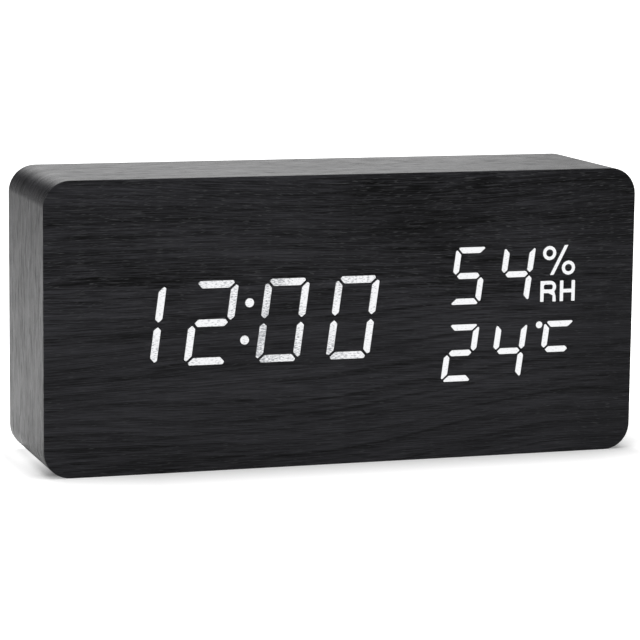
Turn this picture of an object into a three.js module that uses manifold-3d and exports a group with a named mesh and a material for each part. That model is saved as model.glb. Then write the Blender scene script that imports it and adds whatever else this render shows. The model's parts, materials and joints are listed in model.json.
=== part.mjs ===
// Digital desk clock: a wood-grain block with a lit display in front, and a battery bay and buttons behind.
// Millimetres. X runs to the right seen from the front, Y from the front to the back, Z up.
// The origin lies on the desk, under the middle of the case.
import * as THREE from "three";
import { mergeVertices } from "three/addons/utils/BufferGeometryUtils.js";
import Module from "manifold-3d";

const wasm = await Module();
wasm.setup();

// Fits between pieces
const GLUE_LINE = 0.05; // between two glued faces
const SEAT_GAP = 0.05; // between a screwed or clipped face and its seat
const FIT = 0.3; // round a piece that drops into an opening
const GUIDE_FIT = 0.08; // round a light guide in its well and its window
const SCREW_FIT = 0.15; // round a screw's shank

// Case
const CASE_DEPTH = 38.7;
const CORNER_RADIUS = 6.5;
const WALL = 10.4; // from the outside of the case to its pocket
const BAND_THICKNESS = 0.6;
const BAND_SEAM = 0.3; // between the ends of the wrap and the strip under the case
const FILM_THICKNESS = 0.4;
const WEB_THICKNESS = 3;
const WINDOW_RADIUS = 3;
const POCKET_RADIUS = 4;

// Display layout: heights are from the middle of the case
const DIGIT_SLANT = 0.133; // sideways lean for each unit of height
const TIME_DIGIT_WIDTH = 11.3;
const TIME_DIGIT_HEIGHT = 20.4;
const TIME_STROKE = 1.95;
const TIME_MITRE_GAP = 0.45;
const TIME_TIP_BLUNT = 0.7;
const TIME_FLAT_END = 1.12; // a segment's outer edge stops this far short of its mitre's tip
const TIME_POINT = 0.2; // the flat at a segment's point in the middle of a digit
const TIME_SPACING = 6.5;
const TIME_FIRST_LEFT = 52; // the middle of the first digit, left of the case's middle
const TIME_ROW = 0.6;
const COLON_DIAMETER = 2.4;
const COLON_OFFSET = 4.5;
const SMALL_DIGIT_WIDTH = 8.4;
const SMALL_DIGIT_HEIGHT = 14.3;
const SMALL_STROKE = 1.67;
const SMALL_MITRE_GAP = 0.3;
const SMALL_TIP_BLUNT = 0.45;
const SMALL_FLAT_END = 0.72;
const SMALL_POINT = 0.1;
const SMALL_SPACING = 4.3;
const HUMIDITY_FIRST_X = 31.1;
const HUMIDITY_ROW = 9.75;
const TEMPERATURE_FIRST_X = 29.3;
const TEMPERATURE_DROP = 9.3; // the lower row, below the middle of the case
const DEGREE_DIAMETER = 1.92;
const DEGREE_LEFT = 5.46; // from the middle of the sign's digit
const DEGREE_UP = 6.2;

// Percent sign and its two letters, from the left of the sign and from the middle of the humidity row
const SIGN_SPACING = 2.1;
const RING_DIAMETER = 3.75;
const RING_BORE = 1.65;
const RING_UPPER_X = 2.36;
const RING_UPPER_Z = 4.98;
const RING_LOWER_X = 7.45;
const RING_LOWER_Z = 1.2;
const SLASH_LEFT = 2.4;
const SLASH_RUN = 3.9;
const SLASH_WIDTH = 1.17;
const SLASH_DROP = 0.6;
const SLASH_TOP = 6.97;
const LETTER_DROP = 7.23;
const LETTER_HEIGHT = 5.38;
const LETTER_STROKE = 1.1;
const LETTER_R_WIDTH = 4.38;
const LETTER_H_LEFT = 5.2;
const LETTER_H_WIDTH = 4.2;

// Light mask, light guides and display board
const DISPLAY_MARGIN = 2.15; // from the outermost lit shape to the side of the window
const DISPLAY_HEADROOM = 3.1; // from the tallest row to the top or bottom of the window
const MASK_LIP = 2.6; // the window's edge to the pocket's side
const MASK_FLANGE = 3;
const GUIDE_BASE = 1;
const GUIDE_MARGIN = 0.4;
const LED_SPACE = 1.85; // from the light guides to the display board
const LED_LENGTH = 1.6;
const LED_WIDTH = 0.8;
const LED_HEIGHT = 0.8;
const BOARD_THICKNESS = 1.6;
const BOARD_INSET = 1.6; // the pocket's side to the display board
const BOSS_DIAMETER = 5;
const BOSS_INSET_X = 3; // a boss in from the side of the window
const BOSS_OUTSET_Z = 1.2; // a boss out from the top or bottom of the window
const BOSS_FLOOR = 0.5;
const CHIP_LENGTH = 12;
const CHIP_WIDTH = 7.5;
const CHIP_HEIGHT = 1.9;
const CHIP_LEFT = 30; // left of the middle of the case
const CHIP_DROP = 8; // below the middle of the case
const CRYSTAL_DIAMETER = 2;
const CRYSTAL_LENGTH = 6;
const CRYSTAL_SPACING = 3;

// Rear cover
const COVER_THICKNESS = 2.4;
const COVER_RECESS = 1.5;
const COVER_LEDGE = 5.4; // the shelf round the pocket that the cover rests on
const COVER_RADIUS = 3;
const TRAY_WALL = 1.5;
const TRAY_RIB = 1.6;
const TRAY_RIB_LENGTH = 22;

// Screws
const HEAD_DIAMETER = 4.2;
const HEAD_HEIGHT = 1.3;
const HEAD_EDGE = 0.5;
const SHANK_DIAMETER = 2.2;
const SHANK_POINT = 1;
const CROSS_LENGTH = 2.4;
const CROSS_WIDTH = 0.55;
const CROSS_DEPTH = 0.7;
const COVER_SCREW_LENGTH = 9;
const DISPLAY_SCREW_LENGTH = 6.5;
const CONTROL_SCREW_LENGTH = 6;
const COUNTERBORE_DEPTH = 1.4;
const PILOT_SPARE = 0.5; // the hole past a screw's point

// Battery bay: three cells, side by side
const CELL_DIAMETER = 10.5;
const CELL_LENGTH = 44.5;
const CELL_NUB_DIAMETER = 3.8;
const CELL_NUB_LENGTH = 1.2;
const CELL_EDGE = 0.6;
const CELL_ROWS = 3;
const CELL_SPACING = 0.7;
const CELL_REST = 0.25; // under and over a cell
const CONTACT_SHEET = 0.4;
const CONTACT_WIDTH = 8.6;
const CONTACT_LENGTH = 9;
const CONTACT_GAP = 0.1;
const DIMPLE_HEIGHT = 1;
const DIMPLE_DIAMETER = 4.4;
const DIMPLE_TOP = 2.8;
const SPRING_LENGTH = 5.4;
const SPRING_WIRE = 0.7;
const SPRING_TURNS = 3.5;
const SPRING_BASE_DIAMETER = 7.2;
const SPRING_TIP_DIAMETER = 4.4;
const TAIL_WIDTH = 3;
const TAIL_REACH = 2; // past the outside of the tray
const DOOR_THICKNESS = 1.6;
const DOOR_LEDGE = 2;
const DOOR_RADIUS = 2;
const HOOK_X = 16;
const HOOK_WIDTH = 6;
const HOOK_LEG = 0.8;
const HOOK_GAP = 0.1; // between a hook's leg and the edge of the bay
const HOOK_CATCH = 0.6; // how far a hook reaches under the ledge
const HOOK_SLACK = 0.5; // between the hook and the ledge
const HOOK_TOE = 0.9;
const NOTCH_WIDTH = 14;
const NOTCH_REACH = 2.2;

// Control board and what it carries
const STRIP_LENGTH = 122;
const STRIP_HEIGHT = 11.5;
const STRIP_THICKNESS = 1.6;
const STRIP_GAP = 1.2; // over the battery tray
const STRIP_HEADROOM = 0.4;
const STRIP_END = 3.6; // the pocket's side to the board's end
const POST_DIAMETER = 5;
const POST_INSET = 3.5;
const POST_ROOF = 0.5;
const SWITCH_SIDE = 6;
const SWITCH_HEIGHT = 3.4;
const PLUNGER_DIAMETER = 3.4;
const PLUNGER_RISE = 1.15;
const PLUNGER_SUNK = 1;
const PLUNGER_FIT = 0.2;
const BUTTON_TRAVEL = 0.6;
const BUTTON_WIDTH = 9;
const BUTTON_HEIGHT = 4.8;
const BUTTON_FIT = 0.25;
const BUTTON_PROUD = 1.2;
const BUTTON_LIP = 0.8; // the flange that keeps a button in the cover
const BUTTON_LIP_THICKNESS = 0.8;
const BUTTON_SPACING = 18;
const USB_INSET = 19; // from the left end of the control board
const USB_WIDTH = 8;
const USB_HEIGHT = 3;
const USB_WALL = 0.35;
const USB_TAPER = 1; // cut off the socket's two lower corners
const USB_SUNK = 0.5; // the socket's mouth below the cover's face
const USB_HOLE_FIT = 0.6;
const USB_BASE = 1;
const TONGUE_WIDTH = 3.9;
const TONGUE_THICKNESS = 0.7;
const TONGUE_SHORT = 0.8; // the tongue's end below the socket's mouth
const BUZZER_INSET = 14.5; // from the right end of the control board
const BUZZER_DIAMETER = 9.6;
const BUZZER_HEIGHT = 5;
const BUZZER_PORT = 2;
const BUZZER_PORT_DEPTH = 1.5;
const SOUND_HOLE = 1.4;
const SOUND_RING = 2.8;
const SOUND_HOLES = 6;
const SENSOR_SPACING = 14.5; // from the buzzer
const SENSOR_WIDTH = 8;
const SENSOR_HEIGHT = 7;
const SENSOR_DEPTH = 4;
const VENT_WIDTH = 1.1;
const VENT_HEIGHT = 6;
const VENT_PITCH = 2.2;
const VENTS = 4;

// Wiring
const LEAD_DIAMETER = 1.2;
const LEAD_BEND = 3.6; // from a contact's tail out to the lead's upright run
const LEAD_END_GAP = 0.3;
const LEAD_STEPS = 12;
const RIBBON_WIDTH = 10;
const RIBBON_THICKNESS = 0.9;
const RIBBON_DIP = 5;
const RIBBON_STEPS = 14;

// How finely round shapes are drawn
const CASE_CORNER_STEPS = 10;
const CORNER_STEPS = 4;
const ROUND_SIDES = 16;
const SCREW_SIDES = 12;
const CELL_SIDES = 20;
const HOLE_SIDES = 8;
const CURL_STEPS = 8;
const CURL_SIDES = 5;
const MERGE_DISTANCE = 1e-4;
const THROUGH = 1; // how far a cut runs past the face that it opens

// Widths and heights that follow from the layout
const timePitch = TIME_DIGIT_WIDTH + TIME_SPACING;
const smallPitch = SMALL_DIGIT_WIDTH + SMALL_SPACING;
const signLeft = HUMIDITY_FIRST_X + smallPitch + SMALL_DIGIT_WIDTH / 2 + SIGN_SPACING;
const celsiusX = TEMPERATURE_FIRST_X + 2 * smallPitch;
const displayLeft = -TIME_FIRST_LEFT - (TIME_DIGIT_WIDTH + DIGIT_SLANT * TIME_DIGIT_HEIGHT) / 2;
const letterRight = signLeft + LETTER_H_LEFT + LETTER_H_WIDTH;
const ringRight = signLeft + RING_LOWER_X + RING_DIAMETER / 2;
const celsiusRight = celsiusX + (SMALL_DIGIT_WIDTH + DIGIT_SLANT * SMALL_DIGIT_HEIGHT) / 2;
const displayReach = Math.max(-displayLeft, letterRight, ringRight, celsiusRight);
const windowWidth = 2 * (displayReach + DISPLAY_MARGIN);
const rowReach = Math.max(
  Math.abs(TIME_ROW) + TIME_DIGIT_HEIGHT / 2,
  HUMIDITY_ROW + SMALL_DIGIT_HEIGHT / 2,
  TEMPERATURE_DROP + SMALL_DIGIT_HEIGHT / 2,
);
const windowHeight = 2 * (rowReach + DISPLAY_HEADROOM);
const cellPitch = CELL_DIAMETER + CELL_SPACING;
const bayHeight = CELL_ROWS * cellPitch;
const contactDepth = CONTACT_SHEET + SEAT_GAP + CONTACT_GAP;
const bayLength = CELL_LENGTH + SPRING_LENGTH + DIMPLE_HEIGHT + 2 * contactDepth;
const rearStack = FIT + bayHeight + 2 * TRAY_WALL + STRIP_GAP + STRIP_HEIGHT + STRIP_HEADROOM;
const pocketWidth = Math.max(windowWidth + 2 * MASK_LIP, STRIP_LENGTH + 2 * STRIP_END);
const pocketHeight = Math.max(windowHeight + 2 * MASK_LIP, rearStack);
const caseWidth = pocketWidth + 2 * WALL;
const caseHeight = pocketHeight + 2 * WALL;
const middle = caseHeight / 2;
const coverOpeningWidth = pocketWidth + 2 * COVER_LEDGE;
const coverOpeningHeight = pocketHeight + 2 * COVER_LEDGE;
const bayBottom = WALL + FIT + TRAY_WALL;
const bayMiddle = bayBottom + bayHeight / 2;
const stripMiddle = bayBottom + bayHeight + TRAY_WALL + STRIP_GAP + STRIP_HEIGHT / 2;
const usbX = USB_INSET - STRIP_LENGTH / 2;
const buzzerX = STRIP_LENGTH / 2 - BUZZER_INSET;
const sensorX = buzzerX - SENSOR_SPACING;
const doorWidth = bayLength + 2 * DOOR_LEDGE;
const doorHeight = bayHeight + 2 * DOOR_LEDGE;

// Depths, from the front to the back
const front = -CASE_DEPTH / 2;
const back = CASE_DEPTH / 2;
const filmBack = front + FILM_THICKNESS;
const blockFront = filmBack + GLUE_LINE;
const blockBack = back - FILM_THICKNESS - GLUE_LINE;
const webBack = blockFront + WEB_THICKNESS;
const flangeFront = webBack + GLUE_LINE;
const maskBack = flangeFront + MASK_FLANGE;
const guideFront = maskBack + GLUE_LINE;
const guideBack = guideFront + GUIDE_BASE;
const boardFront = guideBack + LED_SPACE;
const boardBack = boardFront + BOARD_THICKNESS;
const coverFace = back - COVER_RECESS;
const coverInside = coverFace - COVER_THICKNESS;
const doorInside = coverFace - DOOR_THICKNESS;
const ledgeFace = doorInside - SEAT_GAP;
const cellDepth = doorInside - CELL_REST - CELL_DIAMETER / 2;
const trayFloor = cellDepth - CELL_DIAMETER / 2 - CELL_REST;
const trayFront = trayFloor - TRAY_WALL;
const buttonLipBack = coverInside - SEAT_GAP;
const buttonLipFront = buttonLipBack - BUTTON_LIP_THICKNESS;
const switchBack = buttonLipFront - SEAT_GAP - PLUNGER_RISE;
const stripBack = switchBack - SWITCH_HEIGHT - SEAT_GAP;
const stripFront = stripBack - STRIP_THICKNESS;
const onStrip = stripBack + SEAT_GAP; // where a piece on the control board starts
const onBoard = boardBack + SEAT_GAP; // where a piece on the display board starts

// A closed geometry as a solid that can be joined and cut
function solid(geometry) {
  const bare = new THREE.BufferGeometry();
  bare.setAttribute("position", geometry.getAttribute("position"));
  bare.setIndex(geometry.index);
  const merged = mergeVertices(bare, MERGE_DISTANCE);
  const corners = merged.index.array;
  const triangles = [];
  for (let i = 0; i < corners.length; i += 3) {
    const [a, b, c] = corners.slice(i, i + 3);
    if (a !== b && b !== c && c !== a) triangles.push(a, b, c);
  }
  const mesh = new wasm.Mesh({
    numProp: 3,
    vertProperties: new Float32Array(merged.getAttribute("position").array),
    triVerts: new Uint32Array(triangles),
  });
  return new wasm.Manifold(mesh);
}

// A solid as a geometry that a mesh can show
function geometryOf(body) {
  const mesh = body.getMesh();
  const geometry = new THREE.BufferGeometry();
  geometry.setAttribute("position", new THREE.BufferAttribute(mesh.vertProperties.slice(), 3));
  geometry.setIndex(new THREE.BufferAttribute(mesh.triVerts.slice(), 1));
  geometry.computeVertexNormals();
  return geometry;
}

function joined(first, ...others) {
  return others.reduce((sum, body) => sum.add(body), first);
}

function cut(body, ...tools) {
  return tools.reduce((rest, tool) => rest.subtract(tool), body);
}

// Outlines in X and Z
function point(x, z) {
  return new THREE.Vector2(x, z);
}

function rectangle(width, height, x = 0, z = 0) {
  const right = width / 2;
  const top = height / 2;
  return [
    point(x - right, z - top),
    point(x + right, z - top),
    point(x + right, z + top),
    point(x - right, z + top),
  ];
}

function rounded(width, height, radius, x = 0, z = 0, steps = CORNER_STEPS) {
  const points = [];
  const quarters = [[1, 1], [-1, 1], [-1, -1], [1, -1]];
  quarters.forEach(([sideX, sideZ], quarter) => {
    for (let step = 0; step <= steps; step++) {
      const angle = (quarter + step / steps) * (Math.PI / 2);
      const centreX = x + sideX * (width / 2 - radius);
      const centreZ = z + sideZ * (height / 2 - radius);
      points.push(point(centreX + radius * Math.cos(angle), centreZ + radius * Math.sin(angle)));
    }
  });
  return points;
}

function circle(diameter, x = 0, z = 0, sides = ROUND_SIDES) {
  return Array.from({ length: sides }, (_, i) => {
    const angle = (2 * Math.PI * i) / sides;
    return point(x + (diameter / 2) * Math.cos(angle), z + (diameter / 2) * Math.sin(angle));
  });
}

function moved(outline, x, z) {
  return outline.map((corner) => point(corner.x + x, corner.y + z));
}

// Moves every edge of an outline outwards by the same distance
function grown(outline, distance) {
  const outward = THREE.ShapeUtils.isClockWise(outline) ? -1 : 1;
  const edgeNormal = (from, to) => {
    const along = to.clone().sub(from).normalize();
    return point(along.y, -along.x).multiplyScalar(outward);
  };
  return outline.map((corner, i) => {
    const before = outline[(i + outline.length - 1) % outline.length];
    const after = outline[(i + 1) % outline.length];
    const first = edgeNormal(before, corner);
    const second = edgeNormal(corner, after);
    const both = first.clone().add(second);
    return corner.clone().addScaledVector(both, distance / (1 + first.dot(second)));
  });
}

// An outline drawn out along Y
function prism(outline, near, far, holes = []) {
  const shape = new THREE.Shape(outline);
  shape.holes = holes.map((hole) => new THREE.Path(hole));
  const geometry = new THREE.ExtrudeGeometry(shape, { depth: far - near, bevelEnabled: false });
  geometry.rotateX(Math.PI / 2);
  geometry.translate(0, far, 0);
  return solid(geometry);
}

// A profile of radius and height turned about an axis along Y
function turned(profile, sides) {
  const points = profile.map(([radius, height]) => point(radius, height));
  return solid(new THREE.LatheGeometry(points, sides));
}

function block(minX, maxX, minY, maxY, minZ, maxZ) {
  const geometry = new THREE.BoxGeometry(maxX - minX, maxY - minY, maxZ - minZ);
  geometry.translate((minX + maxX) / 2, (minY + maxY) / 2, (minZ + maxZ) / 2);
  return solid(geometry);
}

// The seven segments of an upright digit: a top, b and c right, d bottom, e and f left, g across the middle
function segmentOutlines(width, height, stroke, mitreGap, tipBlunt, flatEnd, pointFlat) {
  const right = width / 2;
  const top = height / 2;
  const inner = right - stroke;
  const axis = right - stroke / 2;
  const shift = mitreGap / Math.SQRT2;
  const halfPoint = pointFlat / 2;
  const mirrored = (outline, sideX, sideZ) =>
    outline.map((corner) => point(sideX * corner.x, sideZ * corner.y));
  const a = [
    point(right - shift - flatEnd, top),
    point(right - shift - tipBlunt, top - tipBlunt),
    point(inner - shift, top - stroke),
    point(shift - inner, top - stroke),
    point(shift + tipBlunt - right, top - tipBlunt),
    point(shift + flatEnd - right, top),
  ];
  const b = [
    point(right, top - shift - flatEnd),
    point(right - tipBlunt, top - shift - tipBlunt),
    point(inner, top - shift - stroke),
    point(inner, shift + stroke / 2),
    point(axis - halfPoint, shift + halfPoint),
    point(axis + halfPoint, shift + halfPoint),
    point(right, shift + stroke / 2),
  ];
  const rightEnd = [
    point(axis - shift - stroke / 2, stroke / 2),
    point(axis - shift - halfPoint, halfPoint),
    point(axis - shift - halfPoint, -halfPoint),
    point(axis - shift - stroke / 2, -stroke / 2),
  ];
  const g = [...rightEnd, ...mirrored(rightEnd, -1, -1)];
  return {
    a,
    b,
    c: mirrored(b, 1, -1),
    d: mirrored(a, 1, -1),
    e: mirrored(b, -1, -1),
    f: mirrored(b, -1, 1),
    g,
  };
}

function slanted(outline) {
  return outline.map((corner) => point(corner.x + DIGIT_SLANT * corner.y, corner.y));
}

// A lit or unlit shape of the display, with an inner outline where its middle stays dark
function mark(outline, lit, dark = null) {
  return { outline, lit, dark };
}

const LIT_SEGMENTS = { 0: "abcdef", 1: "bc", 2: "abged", 4: "fgbc", 5: "afgcd", C: "afg" };

function digitMarks(outlines, segments, character) {
  return [...segments].map((name) => mark(slanted(outlines[name]), LIT_SEGMENTS[character].includes(name)));
}

const timeOutlines = segmentOutlines(
  TIME_DIGIT_WIDTH,
  TIME_DIGIT_HEIGHT,
  TIME_STROKE,
  TIME_MITRE_GAP,
  TIME_TIP_BLUNT,
  TIME_FLAT_END,
  TIME_POINT,
);
const smallOutlines = segmentOutlines(
  SMALL_DIGIT_WIDTH,
  SMALL_DIGIT_HEIGHT,
  SMALL_STROKE,
  SMALL_MITRE_GAP,
  SMALL_TIP_BLUNT,
  SMALL_FLAT_END,
  SMALL_POINT,
);

function timeDigit(name, place, character) {
  return {
    name,
    x: -TIME_FIRST_LEFT + place * timePitch,
    z: middle + TIME_ROW,
    marks: digitMarks(timeOutlines, "abcdefg", character),
    plate: slanted(rectangle(TIME_DIGIT_WIDTH, TIME_DIGIT_HEIGHT)),
  };
}

function smallDigit(name, firstX, row, place, character) {
  return {
    name,
    x: firstX + place * smallPitch,
    z: middle + row,
    marks: digitMarks(smallOutlines, "abcdefg", character),
    plate: slanted(rectangle(SMALL_DIGIT_WIDTH, SMALL_DIGIT_HEIGHT)),
  };
}

function colonSign() {
  const dot = (side) => circle(COLON_DIAMETER, side * DIGIT_SLANT * COLON_OFFSET, side * COLON_OFFSET);
  return {
    name: "light_guide_colon",
    x: -TIME_FIRST_LEFT + 1.5 * timePitch,
    z: middle + TIME_ROW,
    marks: [mark(dot(1), true), mark(dot(-1), true)],
    plate: slanted(rectangle(COLON_DIAMETER, 2 * COLON_OFFSET + COLON_DIAMETER)),
  };
}

function celsiusSign() {
  const degreeX = DIGIT_SLANT * DEGREE_UP - DEGREE_LEFT;
  const plateLeft = -DEGREE_LEFT - DEGREE_DIAMETER / 2;
  const plateRight = SMALL_DIGIT_WIDTH / 2;
  const plate = rectangle(plateRight - plateLeft, SMALL_DIGIT_HEIGHT, (plateLeft + plateRight) / 2, 0);
  return {
    name: "light_guide_celsius",
    x: celsiusX,
    z: middle - TEMPERATURE_DROP,
    marks: [
      ...digitMarks(smallOutlines, "aefg", "C"),
      mark(circle(DEGREE_DIAMETER, degreeX, DEGREE_UP), true),
    ],
    plate: slanted(plate),
  };
}

function letterR() {
  const waist = LETTER_HEIGHT / 2;
  const bowl = (LETTER_HEIGHT - waist + LETTER_STROKE / 2) / 2;
  const bowlX = LETTER_R_WIDTH - bowl;
  const bowlZ = LETTER_HEIGHT - bowl;
  const outline = new THREE.Path();
  outline.moveTo(0, LETTER_HEIGHT);
  outline.lineTo(0, 0);
  outline.lineTo(LETTER_STROKE, 0);
  outline.lineTo(LETTER_STROKE, waist - LETTER_STROKE / 2);
  outline.lineTo(bowlX - LETTER_STROKE / 2, waist - LETTER_STROKE / 2);
  outline.lineTo(LETTER_R_WIDTH - LETTER_STROKE, waist - LETTER_STROKE);
  outline.lineTo(LETTER_R_WIDTH - LETTER_STROKE, 0);
  outline.lineTo(LETTER_R_WIDTH, 0);
  outline.lineTo(LETTER_R_WIDTH - LETTER_STROKE / 8, waist - LETTER_STROKE);
  outline.absarc(bowlX, bowlZ, bowl, -Math.PI / 4, Math.PI / 2, false);
  const counterLeft = LETTER_STROKE;
  const counterRight = LETTER_R_WIDTH - LETTER_STROKE;
  const counterBottom = waist + LETTER_STROKE / 2;
  const counterTop = LETTER_HEIGHT - LETTER_STROKE;
  const counterHeight = counterTop - counterBottom;
  const counter = rounded(
    counterRight - counterLeft,
    counterHeight,
    counterHeight / 3,
    (counterLeft + counterRight) / 2,
    (counterBottom + counterTop) / 2,
  );
  return { outline: outline.getPoints(CORNER_STEPS), counter };
}

function letterH() {
  const barBottom = (LETTER_HEIGHT - LETTER_STROKE) / 2;
  const barTop = (LETTER_HEIGHT + LETTER_STROKE) / 2;
  const rightStem = LETTER_H_WIDTH - LETTER_STROKE;
  return [
    point(0, 0),
    point(LETTER_STROKE, 0),
    point(LETTER_STROKE, barBottom),
    point(rightStem, barBottom),
    point(rightStem, 0),
    point(LETTER_H_WIDTH, 0),
    point(LETTER_H_WIDTH, LETTER_HEIGHT),
    point(rightStem, LETTER_HEIGHT),
    point(rightStem, barTop),
    point(LETTER_STROKE, barTop),
    point(LETTER_STROKE, LETTER_HEIGHT),
    point(0, LETTER_HEIGHT),
  ];
}

function humiditySign() {
  const ring = (x, z) => mark(circle(RING_DIAMETER, x, z), true, circle(RING_BORE, x, z));
  const slash = [
    point(SLASH_LEFT, -SLASH_DROP),
    point(SLASH_LEFT + SLASH_WIDTH, -SLASH_DROP),
    point(SLASH_LEFT + SLASH_WIDTH + SLASH_RUN, SLASH_TOP),
    point(SLASH_LEFT + SLASH_RUN, SLASH_TOP),
  ];
  const { outline, counter } = letterR();
  const right = Math.max(LETTER_H_LEFT + LETTER_H_WIDTH, RING_LOWER_X + RING_DIAMETER / 2);
  const top = Math.max(SLASH_TOP, RING_UPPER_Z + RING_DIAMETER / 2);
  return {
    name: "light_guide_humidity_sign",
    x: signLeft,
    z: middle + HUMIDITY_ROW,
    marks: [
      ring(RING_UPPER_X, RING_UPPER_Z),
      ring(RING_LOWER_X, RING_LOWER_Z),
      mark(slash, true),
      mark(moved(outline, 0, -LETTER_DROP), true, moved(counter, 0, -LETTER_DROP)),
      mark(moved(letterH(), LETTER_H_LEFT, -LETTER_DROP), true),
    ],
    plate: rectangle(right, top + LETTER_DROP, right / 2, (top - LETTER_DROP) / 2),
  };
}

const displayItems = [
  timeDigit("light_guide_hour_tens", 0, "1"),
  timeDigit("light_guide_hour_units", 1, "2"),
  colonSign(),
  timeDigit("light_guide_minute_tens", 2, "0"),
  timeDigit("light_guide_minute_units", 3, "0"),
  smallDigit("light_guide_humidity_tens", HUMIDITY_FIRST_X, HUMIDITY_ROW, 0, "5"),
  smallDigit("light_guide_humidity_units", HUMIDITY_FIRST_X, HUMIDITY_ROW, 1, "4"),
  humiditySign(),
  smallDigit("light_guide_temperature_tens", TEMPERATURE_FIRST_X, -TEMPERATURE_DROP, 0, "2"),
  smallDigit("light_guide_temperature_units", TEMPERATURE_FIRST_X, -TEMPERATURE_DROP, 1, "4"),
  celsiusSign(),
];

// Every mark of the display at its place in the case
const placedMarks = displayItems.flatMap(({ x, z, marks }) =>
  marks.map(({ outline, lit }) => ({ outline: moved(outline, x, z), lit })),
);

// Places of the screws
const corners = [[-1, -1], [1, -1], [-1, 1], [1, 1]];
const coverScrewX = (pocketWidth + COVER_LEDGE) / 2;
const coverScrewZ = (pocketHeight + COVER_LEDGE) / 2;
const coverScrewSeat = coverFace - COUNTERBORE_DEPTH + SEAT_GAP;
const displayScrewX = windowWidth / 2 - BOSS_INSET_X;
const displayScrewZ = windowHeight / 2 + BOSS_OUTSET_Z;
const displayScrewSeat = boardBack + SEAT_GAP;
const postX = STRIP_LENGTH / 2 - POST_INSET;
const controlScrewSeat = stripFront - SEAT_GAP;
const screwHole = SHANK_DIAMETER + 2 * SCREW_FIT;

// The outline of the case, or of what lies at some depth under its skin
function caseOutline(depth = 0) {
  return rounded(
    caseWidth - 2 * depth,
    caseHeight - 2 * depth,
    CORNER_RADIUS - depth,
    0,
    middle,
    CASE_CORNER_STEPS,
  );
}

// Case
function caseBody() {
  const outer = caseOutline(BAND_THICKNESS + GLUE_LINE);
  const windowOutline = rounded(windowWidth, windowHeight, WINDOW_RADIUS, 0, middle);
  const pocket = rounded(pocketWidth, pocketHeight, POCKET_RADIUS, 0, middle);
  const rebate = rounded(coverOpeningWidth, coverOpeningHeight, COVER_RADIUS, 0, middle);
  const pilotEnd = coverScrewSeat - COVER_SCREW_LENGTH - PILOT_SPARE;
  const pilots = corners.map(([sideX, sideZ]) =>
    prism(
      circle(screwHole, sideX * coverScrewX, middle + sideZ * coverScrewZ, HOLE_SIDES),
      pilotEnd,
      coverInside,
    ),
  );
  return cut(
    prism(outer, blockFront, blockBack),
    prism(windowOutline, blockFront - THROUGH, webBack + THROUGH),
    prism(pocket, webBack, blockBack + THROUGH),
    prism(rebate, coverInside - SEAT_GAP, blockBack + THROUGH),
    ...pilots,
  );
}

const baseLength = caseWidth - 2 * CORNER_RADIUS;

// The wrap goes over the top, the sides and the round corners, and stops where the flat bottom begins
function wrapFilm() {
  const ring = prism(caseOutline(), blockFront, blockBack, [caseOutline(BAND_THICKNESS)]);
  const flatBottom = block(
    -baseLength / 2,
    baseLength / 2,
    blockFront - THROUGH,
    blockBack + THROUGH,
    -THROUGH,
    BAND_THICKNESS + THROUGH,
  );
  return cut(ring, flatBottom);
}

function baseFilm() {
  const halfLength = baseLength / 2 - BAND_SEAM;
  return block(-halfLength, halfLength, blockFront, blockBack, 0, BAND_THICKNESS);
}

function frontFilm() {
  const windows = placedMarks.filter(({ lit }) => lit).map((shape) => grown(shape.outline, GUIDE_FIT));
  return cut(
    prism(caseOutline(), front, filmBack),
    ...windows.map((shape) => prism(shape, front - THROUGH, filmBack + THROUGH)),
  );
}

function rearFilm() {
  const opening = rounded(coverOpeningWidth, coverOpeningHeight, COVER_RADIUS, 0, middle);
  return prism(caseOutline(), back - FILM_THICKNESS, back, [opening]);
}

// Display
function lightMask() {
  const panel = rounded(windowWidth - 2 * FIT, windowHeight - 2 * FIT, WINDOW_RADIUS - FIT, 0, middle);
  const flange = rounded(pocketWidth - 2 * FIT, pocketHeight - 2 * FIT, POCKET_RADIUS - FIT, 0, middle);
  const wells = placedMarks.map(({ outline }) => grown(outline, GUIDE_FIT));
  const bosses = corners.map(([sideX, sideZ]) => [sideX * displayScrewX, middle + sideZ * displayScrewZ]);
  const holeFront = Math.max(
    displayScrewSeat - DISPLAY_SCREW_LENGTH - PILOT_SPARE,
    flangeFront + BOSS_FLOOR,
  );
  const body = joined(
    prism(panel, blockFront, maskBack),
    prism(flange, flangeFront, maskBack),
    ...bosses.map(([x, z]) => prism(circle(BOSS_DIAMETER, x, z), flangeFront, boardFront - SEAT_GAP)),
  );
  return cut(
    body,
    ...wells.map((well) => prism(well, blockFront - THROUGH, maskBack + THROUGH)),
    ...bosses.map(([x, z]) => prism(circle(screwHole, x, z, HOLE_SIDES), holeFront, boardFront + THROUGH)),
  );
}

// A clear base with a pillar in each well: a lit one reaches the film's face, an unlit one stops behind it
function lightGuide({ marks, plate }) {
  const pillars = marks.map(({ outline, lit }) => prism(outline, lit ? front : blockFront, guideBack));
  const ringed = marks.filter(({ dark }) => dark);
  const darkMiddles = ringed.map(({ dark }) => prism(dark, front - THROUGH, filmBack));
  return cut(joined(prism(grown(plate, GUIDE_MARGIN), guideFront, guideBack), ...pillars), ...darkMiddles);
}

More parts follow.
